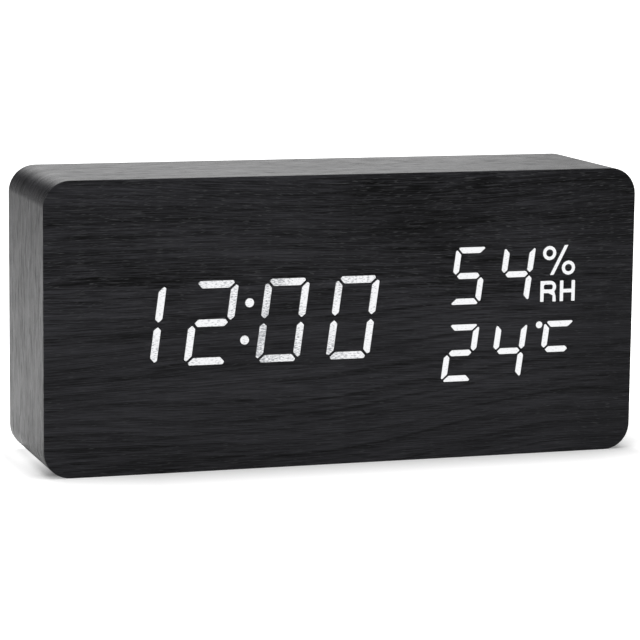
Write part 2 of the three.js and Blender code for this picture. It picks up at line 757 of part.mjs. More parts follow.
function displayBoard() {
  const outline = rectangle(pocketWidth - 2 * BOARD_INSET, pocketHeight - 2 * BOARD_INSET, 0, middle);
  const leds = placedMarks.map(({ outline: shape }) => {
    const box = new THREE.Box2().setFromPoints(shape);
    const centre = box.getCenter(point(0, 0));
    return block(
      centre.x - LED_LENGTH / 2,
      centre.x + LED_LENGTH / 2,
      boardFront - LED_HEIGHT,
      boardFront + BOARD_THICKNESS / 2,
      centre.y - LED_WIDTH / 2,
      centre.y + LED_WIDTH / 2,
    );
  });
  const holes = corners.map(([sideX, sideZ]) =>
    circle(screwHole, sideX * displayScrewX, middle + sideZ * displayScrewZ, HOLE_SIDES),
  );
  return joined(prism(outline, boardFront, boardBack, holes), ...leds);
}

function clockChip() {
  const outline = rectangle(CHIP_LENGTH, CHIP_WIDTH, -CHIP_LEFT, middle - CHIP_DROP);
  return prism(outline, onBoard, onBoard + CHIP_HEIGHT);
}

// The crystal's can lies on the board, beside the chip
function quartzCrystal() {
  const radius = CRYSTAL_DIAMETER / 2;
  const geometry = new THREE.CylinderGeometry(radius, radius, CRYSTAL_LENGTH, HOLE_SIDES);
  geometry.rotateX(Math.PI / 2);
  const x = -CHIP_LEFT + CHIP_LENGTH / 2 + CRYSTAL_SPACING;
  geometry.translate(x, onBoard + radius, middle - CHIP_DROP);
  return solid(geometry);
}

// A pan-head screw: the underside of its head is at the origin and its point runs towards the front
function screw(length) {
  const headRadius = HEAD_DIAMETER / 2;
  const shankRadius = SHANK_DIAMETER / 2;
  const body = turned(
    [
      [0, -length],
      [shankRadius, SHANK_POINT - length],
      [shankRadius, 0],
      [headRadius, 0],
      [headRadius, HEAD_HEIGHT - HEAD_EDGE],
      [headRadius - HEAD_EDGE, HEAD_HEIGHT],
      [0, HEAD_HEIGHT],
    ],
    SCREW_SIDES,
  );
  const crossFloor = HEAD_HEIGHT - CROSS_DEPTH;
  const crossTop = HEAD_HEIGHT + THROUGH;
  const long = CROSS_LENGTH / 2;
  const narrow = CROSS_WIDTH / 2;
  return cut(
    body,
    block(-long, long, crossFloor, crossTop, -narrow, narrow),
    block(-narrow, narrow, crossFloor, crossTop, -long, long),
  );
}

// Rear cover
const buttonPlaces = [-BUTTON_SPACING, 0, BUTTON_SPACING];
const hookPlaces = [-HOOK_X, HOOK_X];
const rows = Array.from({ length: CELL_ROWS }, (_, i) => bayBottom + (i + 0.5) * cellPitch);
const topRow = rows[CELL_ROWS - 1];
const bottomRow = rows[0];
const hookTop = coverInside - HOOK_SLACK;
const hookBottom = hookTop - HOOK_TOE;
const tailFront = trayFloor + SEAT_GAP;
const tailBack = tailFront + CONTACT_SHEET;
const tailEnd = bayLength / 2 + TRAY_WALL + TAIL_REACH;

function coverHoles() {
  const soundCentre = circle(SOUND_HOLE, buzzerX, stripMiddle, HOLE_SIDES);
  const soundRing = circle(2 * SOUND_RING, buzzerX, stripMiddle, SOUND_HOLES);
  const soundHoles = soundRing.map((place) => circle(SOUND_HOLE, place.x, place.y, HOLE_SIDES));
  const vents = Array.from({ length: VENTS }, (_, i) =>
    rectangle(VENT_WIDTH, VENT_HEIGHT, sensorX + (i - (VENTS - 1) / 2) * VENT_PITCH, stripMiddle),
  );
  const buttonHoles = buttonPlaces.map((x) => {
    const width = BUTTON_WIDTH + 2 * BUTTON_FIT;
    const height = BUTTON_HEIGHT + 2 * BUTTON_FIT;
    return rounded(width, height, height / 2, x, stripMiddle);
  });
  const usbHole = grown(usbOutline(), USB_HOLE_FIT);
  const screwHoles = corners.map(([sideX, sideZ]) =>
    circle(screwHole, sideX * coverScrewX, middle + sideZ * coverScrewZ, HOLE_SIDES),
  );
  const outlines = [soundCentre, ...soundHoles, ...vents, ...buttonHoles, usbHole, ...screwHoles];
  return outlines.map((outline) => prism(outline, coverInside - THROUGH, coverFace + THROUGH));
}

function coverRecesses() {
  const doorRecess = rounded(
    doorWidth + 2 * FIT,
    doorHeight + 2 * FIT,
    DOOR_RADIUS + FIT,
    0,
    bayMiddle,
  );
  const doorTop = bayMiddle + doorHeight / 2;
  const notch = block(
    -NOTCH_WIDTH / 2,
    NOTCH_WIDTH / 2,
    ledgeFace,
    coverFace + THROUGH,
    doorTop - DOOR_LEDGE,
    doorTop + FIT + NOTCH_REACH,
  );
  const counterbores = corners.map(([sideX, sideZ]) =>
    prism(
      circle(HEAD_DIAMETER + 2 * FIT, sideX * coverScrewX, middle + sideZ * coverScrewZ),
      coverFace - COUNTERBORE_DEPTH,
      coverFace + THROUGH,
    ),
  );
  return [prism(doorRecess, ledgeFace, coverFace + THROUGH), notch, ...counterbores];
}

// Slots in the tray: for the door's hooks in its bottom wall, and for the contacts' tails in its end walls
function traySlots() {
  const hookSlots = hookPlaces.map((x) =>
    block(
      x - HOOK_WIDTH / 2 - FIT,
      x + HOOK_WIDTH / 2 + FIT,
      hookBottom - FIT,
      coverInside,
      bayBottom - TRAY_WALL - THROUGH,
      bayBottom + THROUGH,
    ),
  );
  const tailSlot = (side, row) => {
    const ends = [side * (bayLength / 2 - THROUGH), side * (bayLength / 2 + TRAY_WALL + THROUGH)];
    const halfWidth = TAIL_WIDTH / 2 + FIT;
    return block(
      Math.min(...ends),
      Math.max(...ends),
      trayFloor,
      tailBack + FIT,
      row - halfWidth,
      row + halfWidth,
    );
  };
  return [...hookSlots, tailSlot(1, topRow), tailSlot(-1, bottomRow)];
}

function rearCover() {
  const plate = rounded(
    coverOpeningWidth - 2 * FIT,
    coverOpeningHeight - 2 * FIT,
    COVER_RADIUS - FIT,
    0,
    middle,
  );
  const trayOutside = rectangle(bayLength + 2 * TRAY_WALL, bayHeight + 2 * TRAY_WALL, 0, bayMiddle);
  const bay = rectangle(bayLength, bayHeight, 0, bayMiddle);
  const posts = [-postX, postX].map((x) => circle(POST_DIAMETER, x, stripMiddle));
  const postHoles = [-postX, postX].map((x) => circle(screwHole, x, stripMiddle, HOLE_SIDES));
  const ribs = rows.slice(1).map((row) =>
    block(
      -TRAY_RIB_LENGTH / 2,
      TRAY_RIB_LENGTH / 2,
      trayFloor - TRAY_WALL / 2,
      trayFloor + TRAY_RIB,
      row - cellPitch / 2 - TRAY_RIB / 2,
      row - cellPitch / 2 + TRAY_RIB / 2,
    ),
  );
  const shell = cut(
    joined(prism(plate, coverInside, coverFace), prism(trayOutside, trayFront, coverFace)),
    prism(bay, trayFloor, coverFace + THROUGH),
    ...coverRecesses(),
    ...coverHoles(),
    ...traySlots(),
  );
  const postEnd = stripBack + SEAT_GAP;
  const carried = joined(
    shell,
    ...ribs,
    ...posts.map((post) => prism(post, postEnd, coverInside + COVER_THICKNESS / 2)),
  );
  return cut(
    carried,
    ...postHoles.map((hole) => prism(hole, postEnd - THROUGH, coverInside - POST_ROOF)),
  );
}

// The door's two hooks reach under the bottom ledge of the bay
function batteryDoor() {
  const plate = prism(
    rounded(doorWidth, doorHeight, DOOR_RADIUS, 0, bayMiddle),
    doorInside,
    coverFace,
  );
  const legBottom = bayBottom + HOOK_GAP;
  const hooks = hookPlaces.flatMap((x) => {
    const left = x - HOOK_WIDTH / 2;
    const right = x + HOOK_WIDTH / 2;
    const legTop = legBottom + HOOK_LEG;
    return [
      block(left, right, hookBottom, doorInside + DOOR_THICKNESS / 2, legBottom, legTop),
      block(left, right, hookBottom, hookTop, bayBottom - HOOK_CATCH, legTop),
    ];
  });
  return joined(plate, ...hooks);
}

// A dry cell along X with its nub to the right, its middle at the origin
function batteryCell() {
  const radius = CELL_DIAMETER / 2;
  const half = CELL_LENGTH / 2;
  const shoulder = half - CELL_NUB_LENGTH;
  const nub = CELL_NUB_DIAMETER / 2;
  const geometry = new THREE.LatheGeometry(
    [
      point(0, -half),
      point(radius - CELL_EDGE, -half),
      point(radius, CELL_EDGE - half),
      point(radius, shoulder - CELL_EDGE),
      point(radius - CELL_EDGE, shoulder),
      point(nub, shoulder),
      point(nub, half),
      point(0, half),
    ],
    CELL_SIDES,
  );
  geometry.rotateZ(-Math.PI / 2);
  return solid(geometry);
}

// A coil whose radius shrinks along X
class TaperedCoil extends THREE.Curve {
  constructor(length, startRadius, endRadius, turns) {
    super();
    Object.assign(this, { length, startRadius, endRadius, turns });
  }

  getPoint(t, target = new THREE.Vector3()) {
    const radius = THREE.MathUtils.lerp(this.startRadius, this.endRadius, t);
    const angle = 2 * Math.PI * this.turns * t;
    return target.set(this.length * t, radius * Math.cos(angle), radius * Math.sin(angle));
  }
}

const springCoil = new TaperedCoil(
  SPRING_LENGTH - SPRING_WIRE / 2,
  SPRING_BASE_DIAMETER / 2,
  SPRING_TIP_DIAMETER / 2,
  SPRING_TURNS,
);

// The least distance between turns of the spring, surface to surface, measured on points of its middle line
function springGap() {
  const perTurn = 6 * CURL_STEPS;
  const points = springCoil.getPoints(Math.round(SPRING_TURNS * perTurn));
  let least = Infinity;
  for (let i = 0; i < points.length; i++) {
    for (let j = i + perTurn / 2; j < points.length; j++) {
      least = Math.min(least, points[i].distanceTo(points[j]));
    }
  }
  return least - SPRING_WIRE;
}

console.log("least gap between the turns of a battery spring: " + springGap().toFixed(2) + " mm");

// A contact at one end of the bay: side is the end's sign in X, the rows are the heights that it serves
function batteryContact(side, springRow, plateRow, tail) {
  const wall = side * (bayLength / 2 - SEAT_GAP);
  const face = wall - side * CONTACT_SHEET;
  const served = [springRow, plateRow].filter((row) => row !== null);
  const sheet = block(
    Math.min(wall, face),
    Math.max(wall, face),
    cellDepth - CONTACT_LENGTH / 2,
    cellDepth + CONTACT_LENGTH / 2,
    Math.min(...served) - CONTACT_WIDTH / 2,
    Math.max(...served) + CONTACT_WIDTH / 2,
  );
  const pieces = [];
  if (springRow !== null) {
    const section = new THREE.Shape(circle(SPRING_WIRE, 0, 0, CURL_SIDES));
    const steps = Math.round(SPRING_TURNS * CURL_STEPS);
    const wire = new THREE.ExtrudeGeometry(section, { steps, extrudePath: springCoil, bevelEnabled: false });
    wire.rotateY(side > 0 ? Math.PI : 0);
    wire.translate(face, cellDepth, springRow);
    pieces.push(solid(wire));
  }
  if (plateRow !== null) {
    const height = DIMPLE_HEIGHT + CONTACT_SHEET / 2;
    const dimple = new THREE.CylinderGeometry(DIMPLE_TOP / 2, DIMPLE_DIAMETER / 2, height, HOLE_SIDES);
    dimple.rotateZ((side * Math.PI) / 2);
    dimple.translate(face - side * (DIMPLE_HEIGHT - height / 2), cellDepth, plateRow);
    pieces.push(solid(dimple));
  }
  if (tail) {
    const ends = [face, side * tailEnd];
    const row = served[0];
    const left = Math.min(...ends);
    const right = Math.max(...ends);
    pieces.push(block(left, right, tailFront, tailBack, row - TAIL_WIDTH / 2, row + TAIL_WIDTH / 2));
    const foot = Math.max(cellDepth - CONTACT_LENGTH / 2 + CONTACT_SHEET, tailBack);
    const inner = Math.min(wall, face);
    const outer = Math.max(wall, face);
    pieces.push(block(inner, outer, tailFront, foot, row - TAIL_WIDTH / 2, row + TAIL_WIDTH / 2));
  }
  return joined(sheet, ...pieces);
}

// Control board and what it carries
function controlBoard() {
  const outline = rectangle(STRIP_LENGTH, STRIP_HEIGHT, 0, stripMiddle);
  const holes = [-postX, postX].map((x) => circle(screwHole, x, stripMiddle, HOLE_SIDES));
  return prism(outline, stripFront, stripBack, holes);
}

const plungerBore = PLUNGER_DIAMETER + 2 * PLUNGER_FIT;
const plungerFront = switchBack - PLUNGER_SUNK;
const plungerRoom = BUTTON_TRAVEL + PLUNGER_FIT;

function switchBody() {
  const body = prism(rectangle(SWITCH_SIDE, SWITCH_SIDE), onStrip, switchBack);
  return cut(body, prism(circle(plungerBore), plungerFront - plungerRoom, switchBack + THROUGH));
}

function switchPlunger() {
  return prism(circle(PLUNGER_DIAMETER), plungerFront, switchBack + PLUNGER_RISE);
}

function buttonCap() {
  const face = rounded(BUTTON_WIDTH, BUTTON_HEIGHT, BUTTON_HEIGHT / 2);
  const lipHeight = BUTTON_HEIGHT + 2 * BUTTON_LIP;
  const lip = rounded(BUTTON_WIDTH + 2 * BUTTON_LIP, lipHeight, lipHeight / 2);
  return joined(
    prism(face, buttonLipFront, coverFace + BUTTON_PROUD),
    prism(lip, buttonLipFront, buttonLipBack),
  );
}

// The socket's outline: a flat D with its two lower corners cut off
function usbOutline() {
  const right = USB_WIDTH / 2;
  const top = USB_HEIGHT / 2;
  return [
    point(USB_TAPER - right, -top),
    point(right - USB_TAPER, -top),
    point(right, USB_TAPER - top),
    point(right, top),
    point(-right, top),
    point(-right, USB_TAPER - top),
  ].map((corner) => point(corner.x + usbX, corner.y + stripMiddle));
}

const usbMouth = coverFace - USB_SUNK;

function usbShell() {
  return prism(usbOutline(), onStrip, usbMouth, [grown(usbOutline(), -USB_WALL)]);
}

function usbTongue() {
  const base = grown(usbOutline(), -USB_WALL - GUIDE_FIT);
  const tongue = rectangle(TONGUE_WIDTH, TONGUE_THICKNESS, usbX, stripMiddle);
  return joined(
    prism(base, onStrip, onStrip + USB_BASE),
    prism(tongue, onStrip, usbMouth - TONGUE_SHORT),
  );
}

function buzzer() {
  const top = onStrip + BUZZER_HEIGHT;
  return cut(
    prism(circle(BUZZER_DIAMETER, buzzerX, stripMiddle), onStrip, top),
    prism(circle(BUZZER_PORT, buzzerX, stripMiddle, HOLE_SIDES), top - BUZZER_PORT_DEPTH, top + THROUGH),
  );
}

// The sensor's open frame: a grid over a hollow
function humiditySensor() {
  const far = onStrip + SENSOR_DEPTH;
  const outline = rectangle(SENSOR_WIDTH, SENSOR_HEIGHT, sensorX, stripMiddle);
  const slots = Array.from({ length: VENTS - 1 }, (_, i) => {
    const x = sensorX + (i - (VENTS - 2) / 2) * VENT_PITCH;
    return rectangle(VENT_WIDTH, VENT_HEIGHT - VENT_WIDTH, x, stripMiddle);
  });
  return cut(
    prism(outline, onStrip, far),
    ...slots.map((slot) => prism(slot, far - SENSOR_DEPTH / 2, far + THROUGH)),
  );
}

// A lead from a contact's tail up to the front of the control board
function batteryLead(side, row) {
  const startX = side * (tailEnd + LEAD_END_GAP);
  const startY = (tailFront + tailBack) / 2;
  const runX = startX + side * LEAD_BEND;
  const endZ = stripMiddle - STRIP_HEIGHT / 4;
  const endY = stripFront - LEAD_END_GAP;
  const route = new THREE.CatmullRomCurve3([
    new THREE.Vector3(startX, startY, row),
    new THREE.Vector3(startX + side * LEAD_DIAMETER, startY, row),
    new THREE.Vector3(runX, startY - LEAD_DIAMETER, row + LEAD_BEND),
    new THREE.Vector3(runX, startY - 2 * LEAD_DIAMETER, endZ - LEAD_BEND),
    new THREE.Vector3(runX, endY - 2.5 * LEAD_DIAMETER, endZ - LEAD_DIAMETER / 4),
    new THREE.Vector3(runX, endY - LEAD_DIAMETER, endZ),
    new THREE.Vector3(runX, endY, endZ),
  ]);
  const section = new THREE.Shape(circle(LEAD_DIAMETER, 0, 0, HOLE_SIDES));
  return solid(
    new THREE.ExtrudeGeometry(section, { steps: LEAD_STEPS, extrudePath: route, bevelEnabled: false }),
  );
}

// The flat cable dips between the two boards
function ribbonCable() {
  const height = stripMiddle - STRIP_HEIGHT / 4;
  const startY = boardBack + LEAD_END_GAP;
  const endY = stripFront - LEAD_END_GAP;
  const straight = 2 * RIBBON_THICKNESS;
  const route = new THREE.CatmullRomCurve3([
    new THREE.Vector3(0, startY, height),
    new THREE.Vector3(0, startY + straight, height),
    new THREE.Vector3(0, (startY + endY) / 2, height - RIBBON_DIP),
    new THREE.Vector3(0, endY - straight, height),
    new THREE.Vector3(0, endY, height),
  ]);
  const section = new THREE.Shape(rectangle(RIBBON_WIDTH, RIBBON_THICKNESS));
  return solid(
    new THREE.ExtrudeGeometry(section, { steps: RIBBON_STEPS, extrudePath: route, bevelEnabled: false }),
  );
}

// Finishes
function finish(color, roughness, metalness = 0) {
  return new THREE.MeshStandardMaterial({ color, roughness, metalness });
}

const woodFilm = finish(0x1c1c1e, 0.45);
const fibreboard = finish(0x4a3a2c, 0.9);
const maskPlastic = finish(0x101010, 0.7);
const litGuide = finish(0xf8f8fa, 0.4);
const boardGreen = finish(0x1f5a38, 0.5);
const blackPlastic = finish(0x161617, 0.55);
const chipPlastic = finish(0x202022, 0.6);
const steel = finish(0xb9bcc0, 0.35, 1);
const darkSteel = finish(0x2c2c2e, 0.4, 1);
const cellSleeve = finish(0x8d8f94, 0.4, 0.6);
const sensorPlastic = finish(0xe6e8ea, 0.6);
const redWire = finish(0xa81c1c, 0.5);
const blackWire = finish(0x141414, 0.5);
const greyRibbon = finish(0x8b8b8e, 0.6);

// Assembly
const clock = new THREE.Group();

function group() {
  const made = new THREE.Group();
  clock.add(made);
  return made;
}

function addPiece(parent, name, body, material, x = 0, y = 0, z = 0) {
  const mesh = new THREE.Mesh(geometryOf(body), material);
  mesh.name = name;
  mesh.position.set(x, y, z);
  parent.add(mesh);
  return mesh;
}

function addScrews(parent, name, length, places, depth, turn = 0) {
  const body = screw(length);
  places.forEach(([x, z], i) => {
    const mesh = addPiece(parent, `${name}_${i + 1}`, body, darkSteel, x, depth, z);
    mesh.rotation.x = turn;
  });
}

function cornerPlaces(x, z) {
  return corners.map(([sideX, sideZ]) => [sideX * x, middle + sideZ * z]);
}

const caseGroup = group();
addPiece(caseGroup, "case_body", caseBody(), fibreboard);
addPiece(caseGroup, "wrap_film", wrapFilm(), woodFilm);
addPiece(caseGroup, "base_film", baseFilm(), woodFilm);
addPiece(caseGroup, "front_film", frontFilm(), woodFilm);
addPiece(caseGroup, "rear_film", rearFilm(), woodFilm);

const displayGroup = group();
addPiece(displayGroup, "light_mask", lightMask(), maskPlastic);
displayItems.forEach((item) => {
  addPiece(displayGroup, item.name, lightGuide(item), litGuide, item.x, 0, item.z);
});
addPiece(displayGroup, "display_board", displayBoard(), boardGreen);
addPiece(displayGroup, "clock_chip", clockChip(), chipPlastic);
addPiece(displayGroup, "quartz_crystal", quartzCrystal(), steel);
addScrews(
  displayGroup,
  "display_screw",
  DISPLAY_SCREW_LENGTH,
  cornerPlaces(displayScrewX, displayScrewZ),
  displayScrewSeat,
);

const coverGroup = group();
addPiece(coverGroup, "rear_cover", rearCover(), blackPlastic);
addPiece(coverGroup, "battery_door", batteryDoor(), blackPlastic);
addScrews(
  coverGroup,
  "cover_screw",
  COVER_SCREW_LENGTH,
  cornerPlaces(coverScrewX, coverScrewZ),
  coverScrewSeat,
);

// Cells turn end for end from row to row, so that the links join them in series
const powerGroup = group();
const cellShift = (SPRING_LENGTH - DIMPLE_HEIGHT) / 2;
rows.forEach((row, i) => {
  const nubSide = (CELL_ROWS - 1 - i) % 2 === 0 ? 1 : -1;
  const x = nubSide * cellShift;
  const cell = addPiece(powerGroup, `battery_cell_${i + 1}`, batteryCell(), cellSleeve, x, cellDepth, row);
  cell.rotation.y = nubSide > 0 ? 0 : Math.PI;
});
addPiece(powerGroup, "contact_positive", batteryContact(1, null, topRow, true), steel);
addPiece(powerGroup, "contact_link_left", batteryContact(-1, topRow, rows[1], false), steel);
addPiece(powerGroup, "contact_link_right", batteryContact(1, rows[1], bottomRow, false), steel);
addPiece(powerGroup, "contact_negative", batteryContact(-1, bottomRow, null, true), steel);
addPiece(powerGroup, "lead_positive", batteryLead(1, topRow), redWire);
addPiece(powerGroup, "lead_negative", batteryLead(-1, bottomRow), blackWire);

const controlGroup = group();
addPiece(controlGroup, "control_board", controlBoard(), boardGreen);
["set", "up", "down"].forEach((name, i) => {
  const x = buttonPlaces[i];
  addPiece(controlGroup, `switch_body_${name}`, switchBody(), chipPlastic, x, 0, stripMiddle);
  addPiece(controlGroup, `switch_plunger_${name}`, switchPlunger(), chipPlastic, x, 0, stripMiddle);
  addPiece(controlGroup, `button_${name}`, buttonCap(), blackPlastic, x, 0, stripMiddle);
});
addPiece(controlGroup, "usb_shell", usbShell(), steel);
addPiece(controlGroup, "usb_tongue", usbTongue(), chipPlastic);
addPiece(controlGroup, "buzzer", buzzer(), chipPlastic);
addPiece(controlGroup, "humidity_sensor", humiditySensor(), sensorPlastic);
addPiece(controlGroup, "ribbon_cable", ribbonCable(), greyRibbon);
const postPlaces = [[-postX, stripMiddle], [postX, stripMiddle]];
addScrews(controlGroup, "control_screw", CONTROL_SCREW_LENGTH, postPlaces, controlScrewSeat, Math.PI);

export default clock;
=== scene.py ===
"""Digital desk clock in a wood-grain block.

Finishes the films, the lit display, the rear cover, the battery bay and the controls around the
clock's solids. Metres. X runs to the right seen from the front, Y from the front to the back, Z up.
"""

import json
import math
from contextlib import contextmanager

import bmesh
import bpy
from bpy.props import FloatProperty, FloatVectorProperty, IntProperty, PointerProperty
from mathutils import Matrix, Vector


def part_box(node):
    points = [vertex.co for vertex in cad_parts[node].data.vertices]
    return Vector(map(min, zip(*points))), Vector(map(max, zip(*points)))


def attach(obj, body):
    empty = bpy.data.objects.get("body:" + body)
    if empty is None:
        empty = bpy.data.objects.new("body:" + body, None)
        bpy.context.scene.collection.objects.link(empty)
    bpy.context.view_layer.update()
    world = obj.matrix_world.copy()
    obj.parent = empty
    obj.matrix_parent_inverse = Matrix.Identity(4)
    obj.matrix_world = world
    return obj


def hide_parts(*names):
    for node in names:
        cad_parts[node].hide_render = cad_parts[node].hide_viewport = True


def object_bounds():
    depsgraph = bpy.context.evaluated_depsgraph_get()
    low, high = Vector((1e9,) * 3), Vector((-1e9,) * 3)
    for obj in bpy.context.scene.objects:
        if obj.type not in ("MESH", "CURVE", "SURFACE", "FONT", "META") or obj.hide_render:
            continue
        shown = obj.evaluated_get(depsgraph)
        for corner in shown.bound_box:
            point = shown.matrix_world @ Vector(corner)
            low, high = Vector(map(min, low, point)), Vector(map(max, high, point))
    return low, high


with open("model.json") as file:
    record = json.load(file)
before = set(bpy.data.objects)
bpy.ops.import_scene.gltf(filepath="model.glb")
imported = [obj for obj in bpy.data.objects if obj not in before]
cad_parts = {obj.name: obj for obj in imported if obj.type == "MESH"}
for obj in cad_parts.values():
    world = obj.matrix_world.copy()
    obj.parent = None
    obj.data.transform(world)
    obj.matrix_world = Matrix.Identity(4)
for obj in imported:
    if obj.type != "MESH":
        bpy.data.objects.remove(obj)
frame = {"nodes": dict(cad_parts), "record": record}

bl_info = {
    "name": "Desk clock",
    "version": (1, 0, 0),
    "blender": (4, 5, 0),
    "location": "View3D > Sidebar > Clock",
    "description": "Finishes the films, display, rear cover and controls of a wood-grain desk clock",
    "category": "Object",
}

MM = 0.001
CAD_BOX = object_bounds()
CASE_LOW, CASE_HIGH = CAD_BOX
CASE_MIDDLE = (CASE_LOW + CASE_HIGH) / 2
ACROSS = Vector((1, 0, 0))
DEEP = Vector((0, 1, 0))
UP = Vector((0, 0, 1))
BUTTONS = ("set", "up", "down")
SCREWS = (("cover_screw", 4, 1), ("display_screw", 4, 1), ("control_screw", 2, -1))
GUIDES = sorted(name for name in frame["nodes"] if name.startswith("light_guide_"))

# Dark middles of the humidity sign, in millimetres from the lower left corner of its light guide
RING_PLACES = ((2.76, 12.61), (7.85, 8.83))
LETTER_PLACE = (2.59, 4.16)

# Material slots of a lit shape and of a cell
GUIDE, FILM, LIGHT = range(3)
SLEEVE, BAND, STEEL = range(3)


def length(name, description, millimetres):
    """A size that the user can change, given in millimetres."""
    return FloatProperty(
        name=name, description=description, default=millimetres * MM, unit="LENGTH", precision=6
    )


def colour(name, description, red, green, blue):
    """A linear colour that the user can change."""
    return FloatVectorProperty(
        name=name, description=description, default=(red, green, blue), subtype="COLOR", min=0, max=1
    )


def angle(name, description, degrees):
    """An angle that the user can change, given in degrees."""
    return FloatProperty(
        name=name, description=description, default=math.radians(degrees), subtype="ANGLE"
    )


# Settings
class ClockFilm(bpy.types.PropertyGroup):
    """The wood-grain film round the case."""

    corner_radius: length("Corner radius", "Round of the case's four long corners", 6.5)
    corner_steps: IntProperty(name="Corner steps", description="Facets in a corner's round", default=20)
    edge: length("Edge", "Round of the film's cut edges", 0.12)
    dark: colour("Dark", "The front between its fibres", 0.003, 0.0031, 0.0033)
    light: colour("Light", "The front's lighter fibres", 0.0635, 0.0632, 0.0715)
    pore: colour("Pore", "The front's light pores", 0.11, 0.112, 0.116)
    worn: colour("Worn", "Rubbed edges of the front", 0.2, 0.2, 0.2)
    wrap_dark: colour("Wrap dark", "The wrap's pores", 0.004, 0.004, 0.0045)
    wrap_light: colour("Wrap light", "The wrap between its pores", 0.042, 0.0415, 0.049)


class ClockDisplay(bpy.types.PropertyGroup):
    """The lit shapes."""

    rim: length("Rim", "Dark film over the edge of a lit shape", 0.1)
    tip: length("Tip", "Round of the corners of a lit shape", 0.25)
    lit: colour("Lit", "Light of a segment", 0.925, 0.93, 0.945)
    speck: colour("Speck", "Light where a pore of the film dims it", 0.33, 0.34, 0.36)
    ring_bore: length("Ring bore", "Dark middle of each ring of the percent sign", 1.6)
    counter_width: length("Counter width", "Dark middle of the letter R", 2.12)
    counter_height: length("Counter height", "Dark middle of the letter R", 0.98)
    counter_round: length("Counter round", "Round of that middle's corners", 0.3)


class ClockCover(bpy.types.PropertyGroup):
    """The rear cover and the battery door."""

    edge: length("Edge", "Round of the moulded edges", 0.18)
    plastic: colour("Plastic", "Moulded black plastic", 0.0085, 0.0085, 0.009)
    ribs: IntProperty(name="Grip ribs", description="Ribs on the battery door", default=5)
    rib_length: length("Rib length", "Length of a grip rib", 12)
    rib_width: length("Rib width", "Width of a grip rib", 0.7)
    rib_height: length("Rib height", "Height of a grip rib over the door", 0.35)
    rib_pitch: length("Rib pitch", "From one grip rib to the next", 1.5)
    rib_start: length("Rib start", "From the door's top edge to the first rib", 2.6)
    rib_edge: length("Rib edge", "Round of a grip rib", 0.25)


class ClockControls(bpy.types.PropertyGroup):
    """The buttons, the power socket and the pieces on the control board."""

    lip: length("Lip", "Flange that keeps a button behind the cover", 0.8)
    lip_thickness: length("Lip thickness", "Thickness of that flange", 0.8)
    rim: length("Rim", "Round of a button's edge", 0.4)
    dish_inset: length("Dish inset", "From a button's edge to its dish", 0.35)
    dish_depth: length("Dish depth", "Depth of the dish in a button's face", 0.22)
    dish_round: length("Dish round", "Round between a button's edge and its dish", 0.315)
    mark_size: length("Mark size", "Width of the sign on a button", 2.1)
    mark_bore: length("Mark bore", "Width of the hole in the ring sign", 1.155)
    mark_height: length("Mark height", "Height of the sign over the dish", 0.1)
    mark_edge: length("Mark edge", "Round of a triangle's corners", 0.15)
    shell_edge: length("Shell edge", "Round of the socket's lip", 0.1)
    shell_corner: length("Shell corner", "Round of the socket's long corners", 0.25)
    tongue: length("Tongue", "Thickness of the socket's tongue", 0.7)
    tongue_edge: length("Tongue edge", "Round of the tongue's tip", 0.12)
    pins: IntProperty(name="Pins", description="Gold pins under the tongue", default=5)
    pin_pitch: length("Pin pitch", "From one pin to the next", 0.65)
    pin_width: length("Pin width", "Width of a pin", 0.36)
    pin_height: length("Pin height", "How far a pin stands out of the tongue", 0.08)
    pin_root: length("Pin root", "How far a pin goes into the tongue", 0.1)
    pin_start: length("Pin start", "From the tongue's root to a pin", 1.2)
    pin_end: length("Pin end", "From a pin to the tongue's tip", 0.3)
    pin_edge: length("Pin edge", "Round of a pin", 0.05)
    case_edge: length("Case edge", "Round of the buzzer and the sensor", 0.2)
    plastic: colour("Button plastic", "Smooth black plastic", 0.014, 0.014, 0.0145)
    paint: colour("Mark paint", "Printed signs", 0.72, 0.72, 0.7)
    gold: colour("Gold", "Plated contacts of the socket", 0.72, 0.5, 0.19)


class ClockScrews(bpy.types.PropertyGroup):
    """The cross-head screws."""

    shank: length("Shank", "Width of a shank", 2.2)
    point: FloatProperty(name="Point", description="Share of a shank's width at its end", default=0.2)
    head: length("Head", "Height of a head", 1.3)
    head_round: length("Head round", "Round of a head", 0.55)
    slot_length: length("Slot length", "Length of each slot of the cross", 2.5)
    slot_width: length("Slot width", "Width of each slot of the cross", 0.56)
    slot_depth: length("Slot depth", "Depth of the cross", 0.75)
    steel: colour("Screw steel", "Blackened steel", 0.035, 0.035, 0.037)


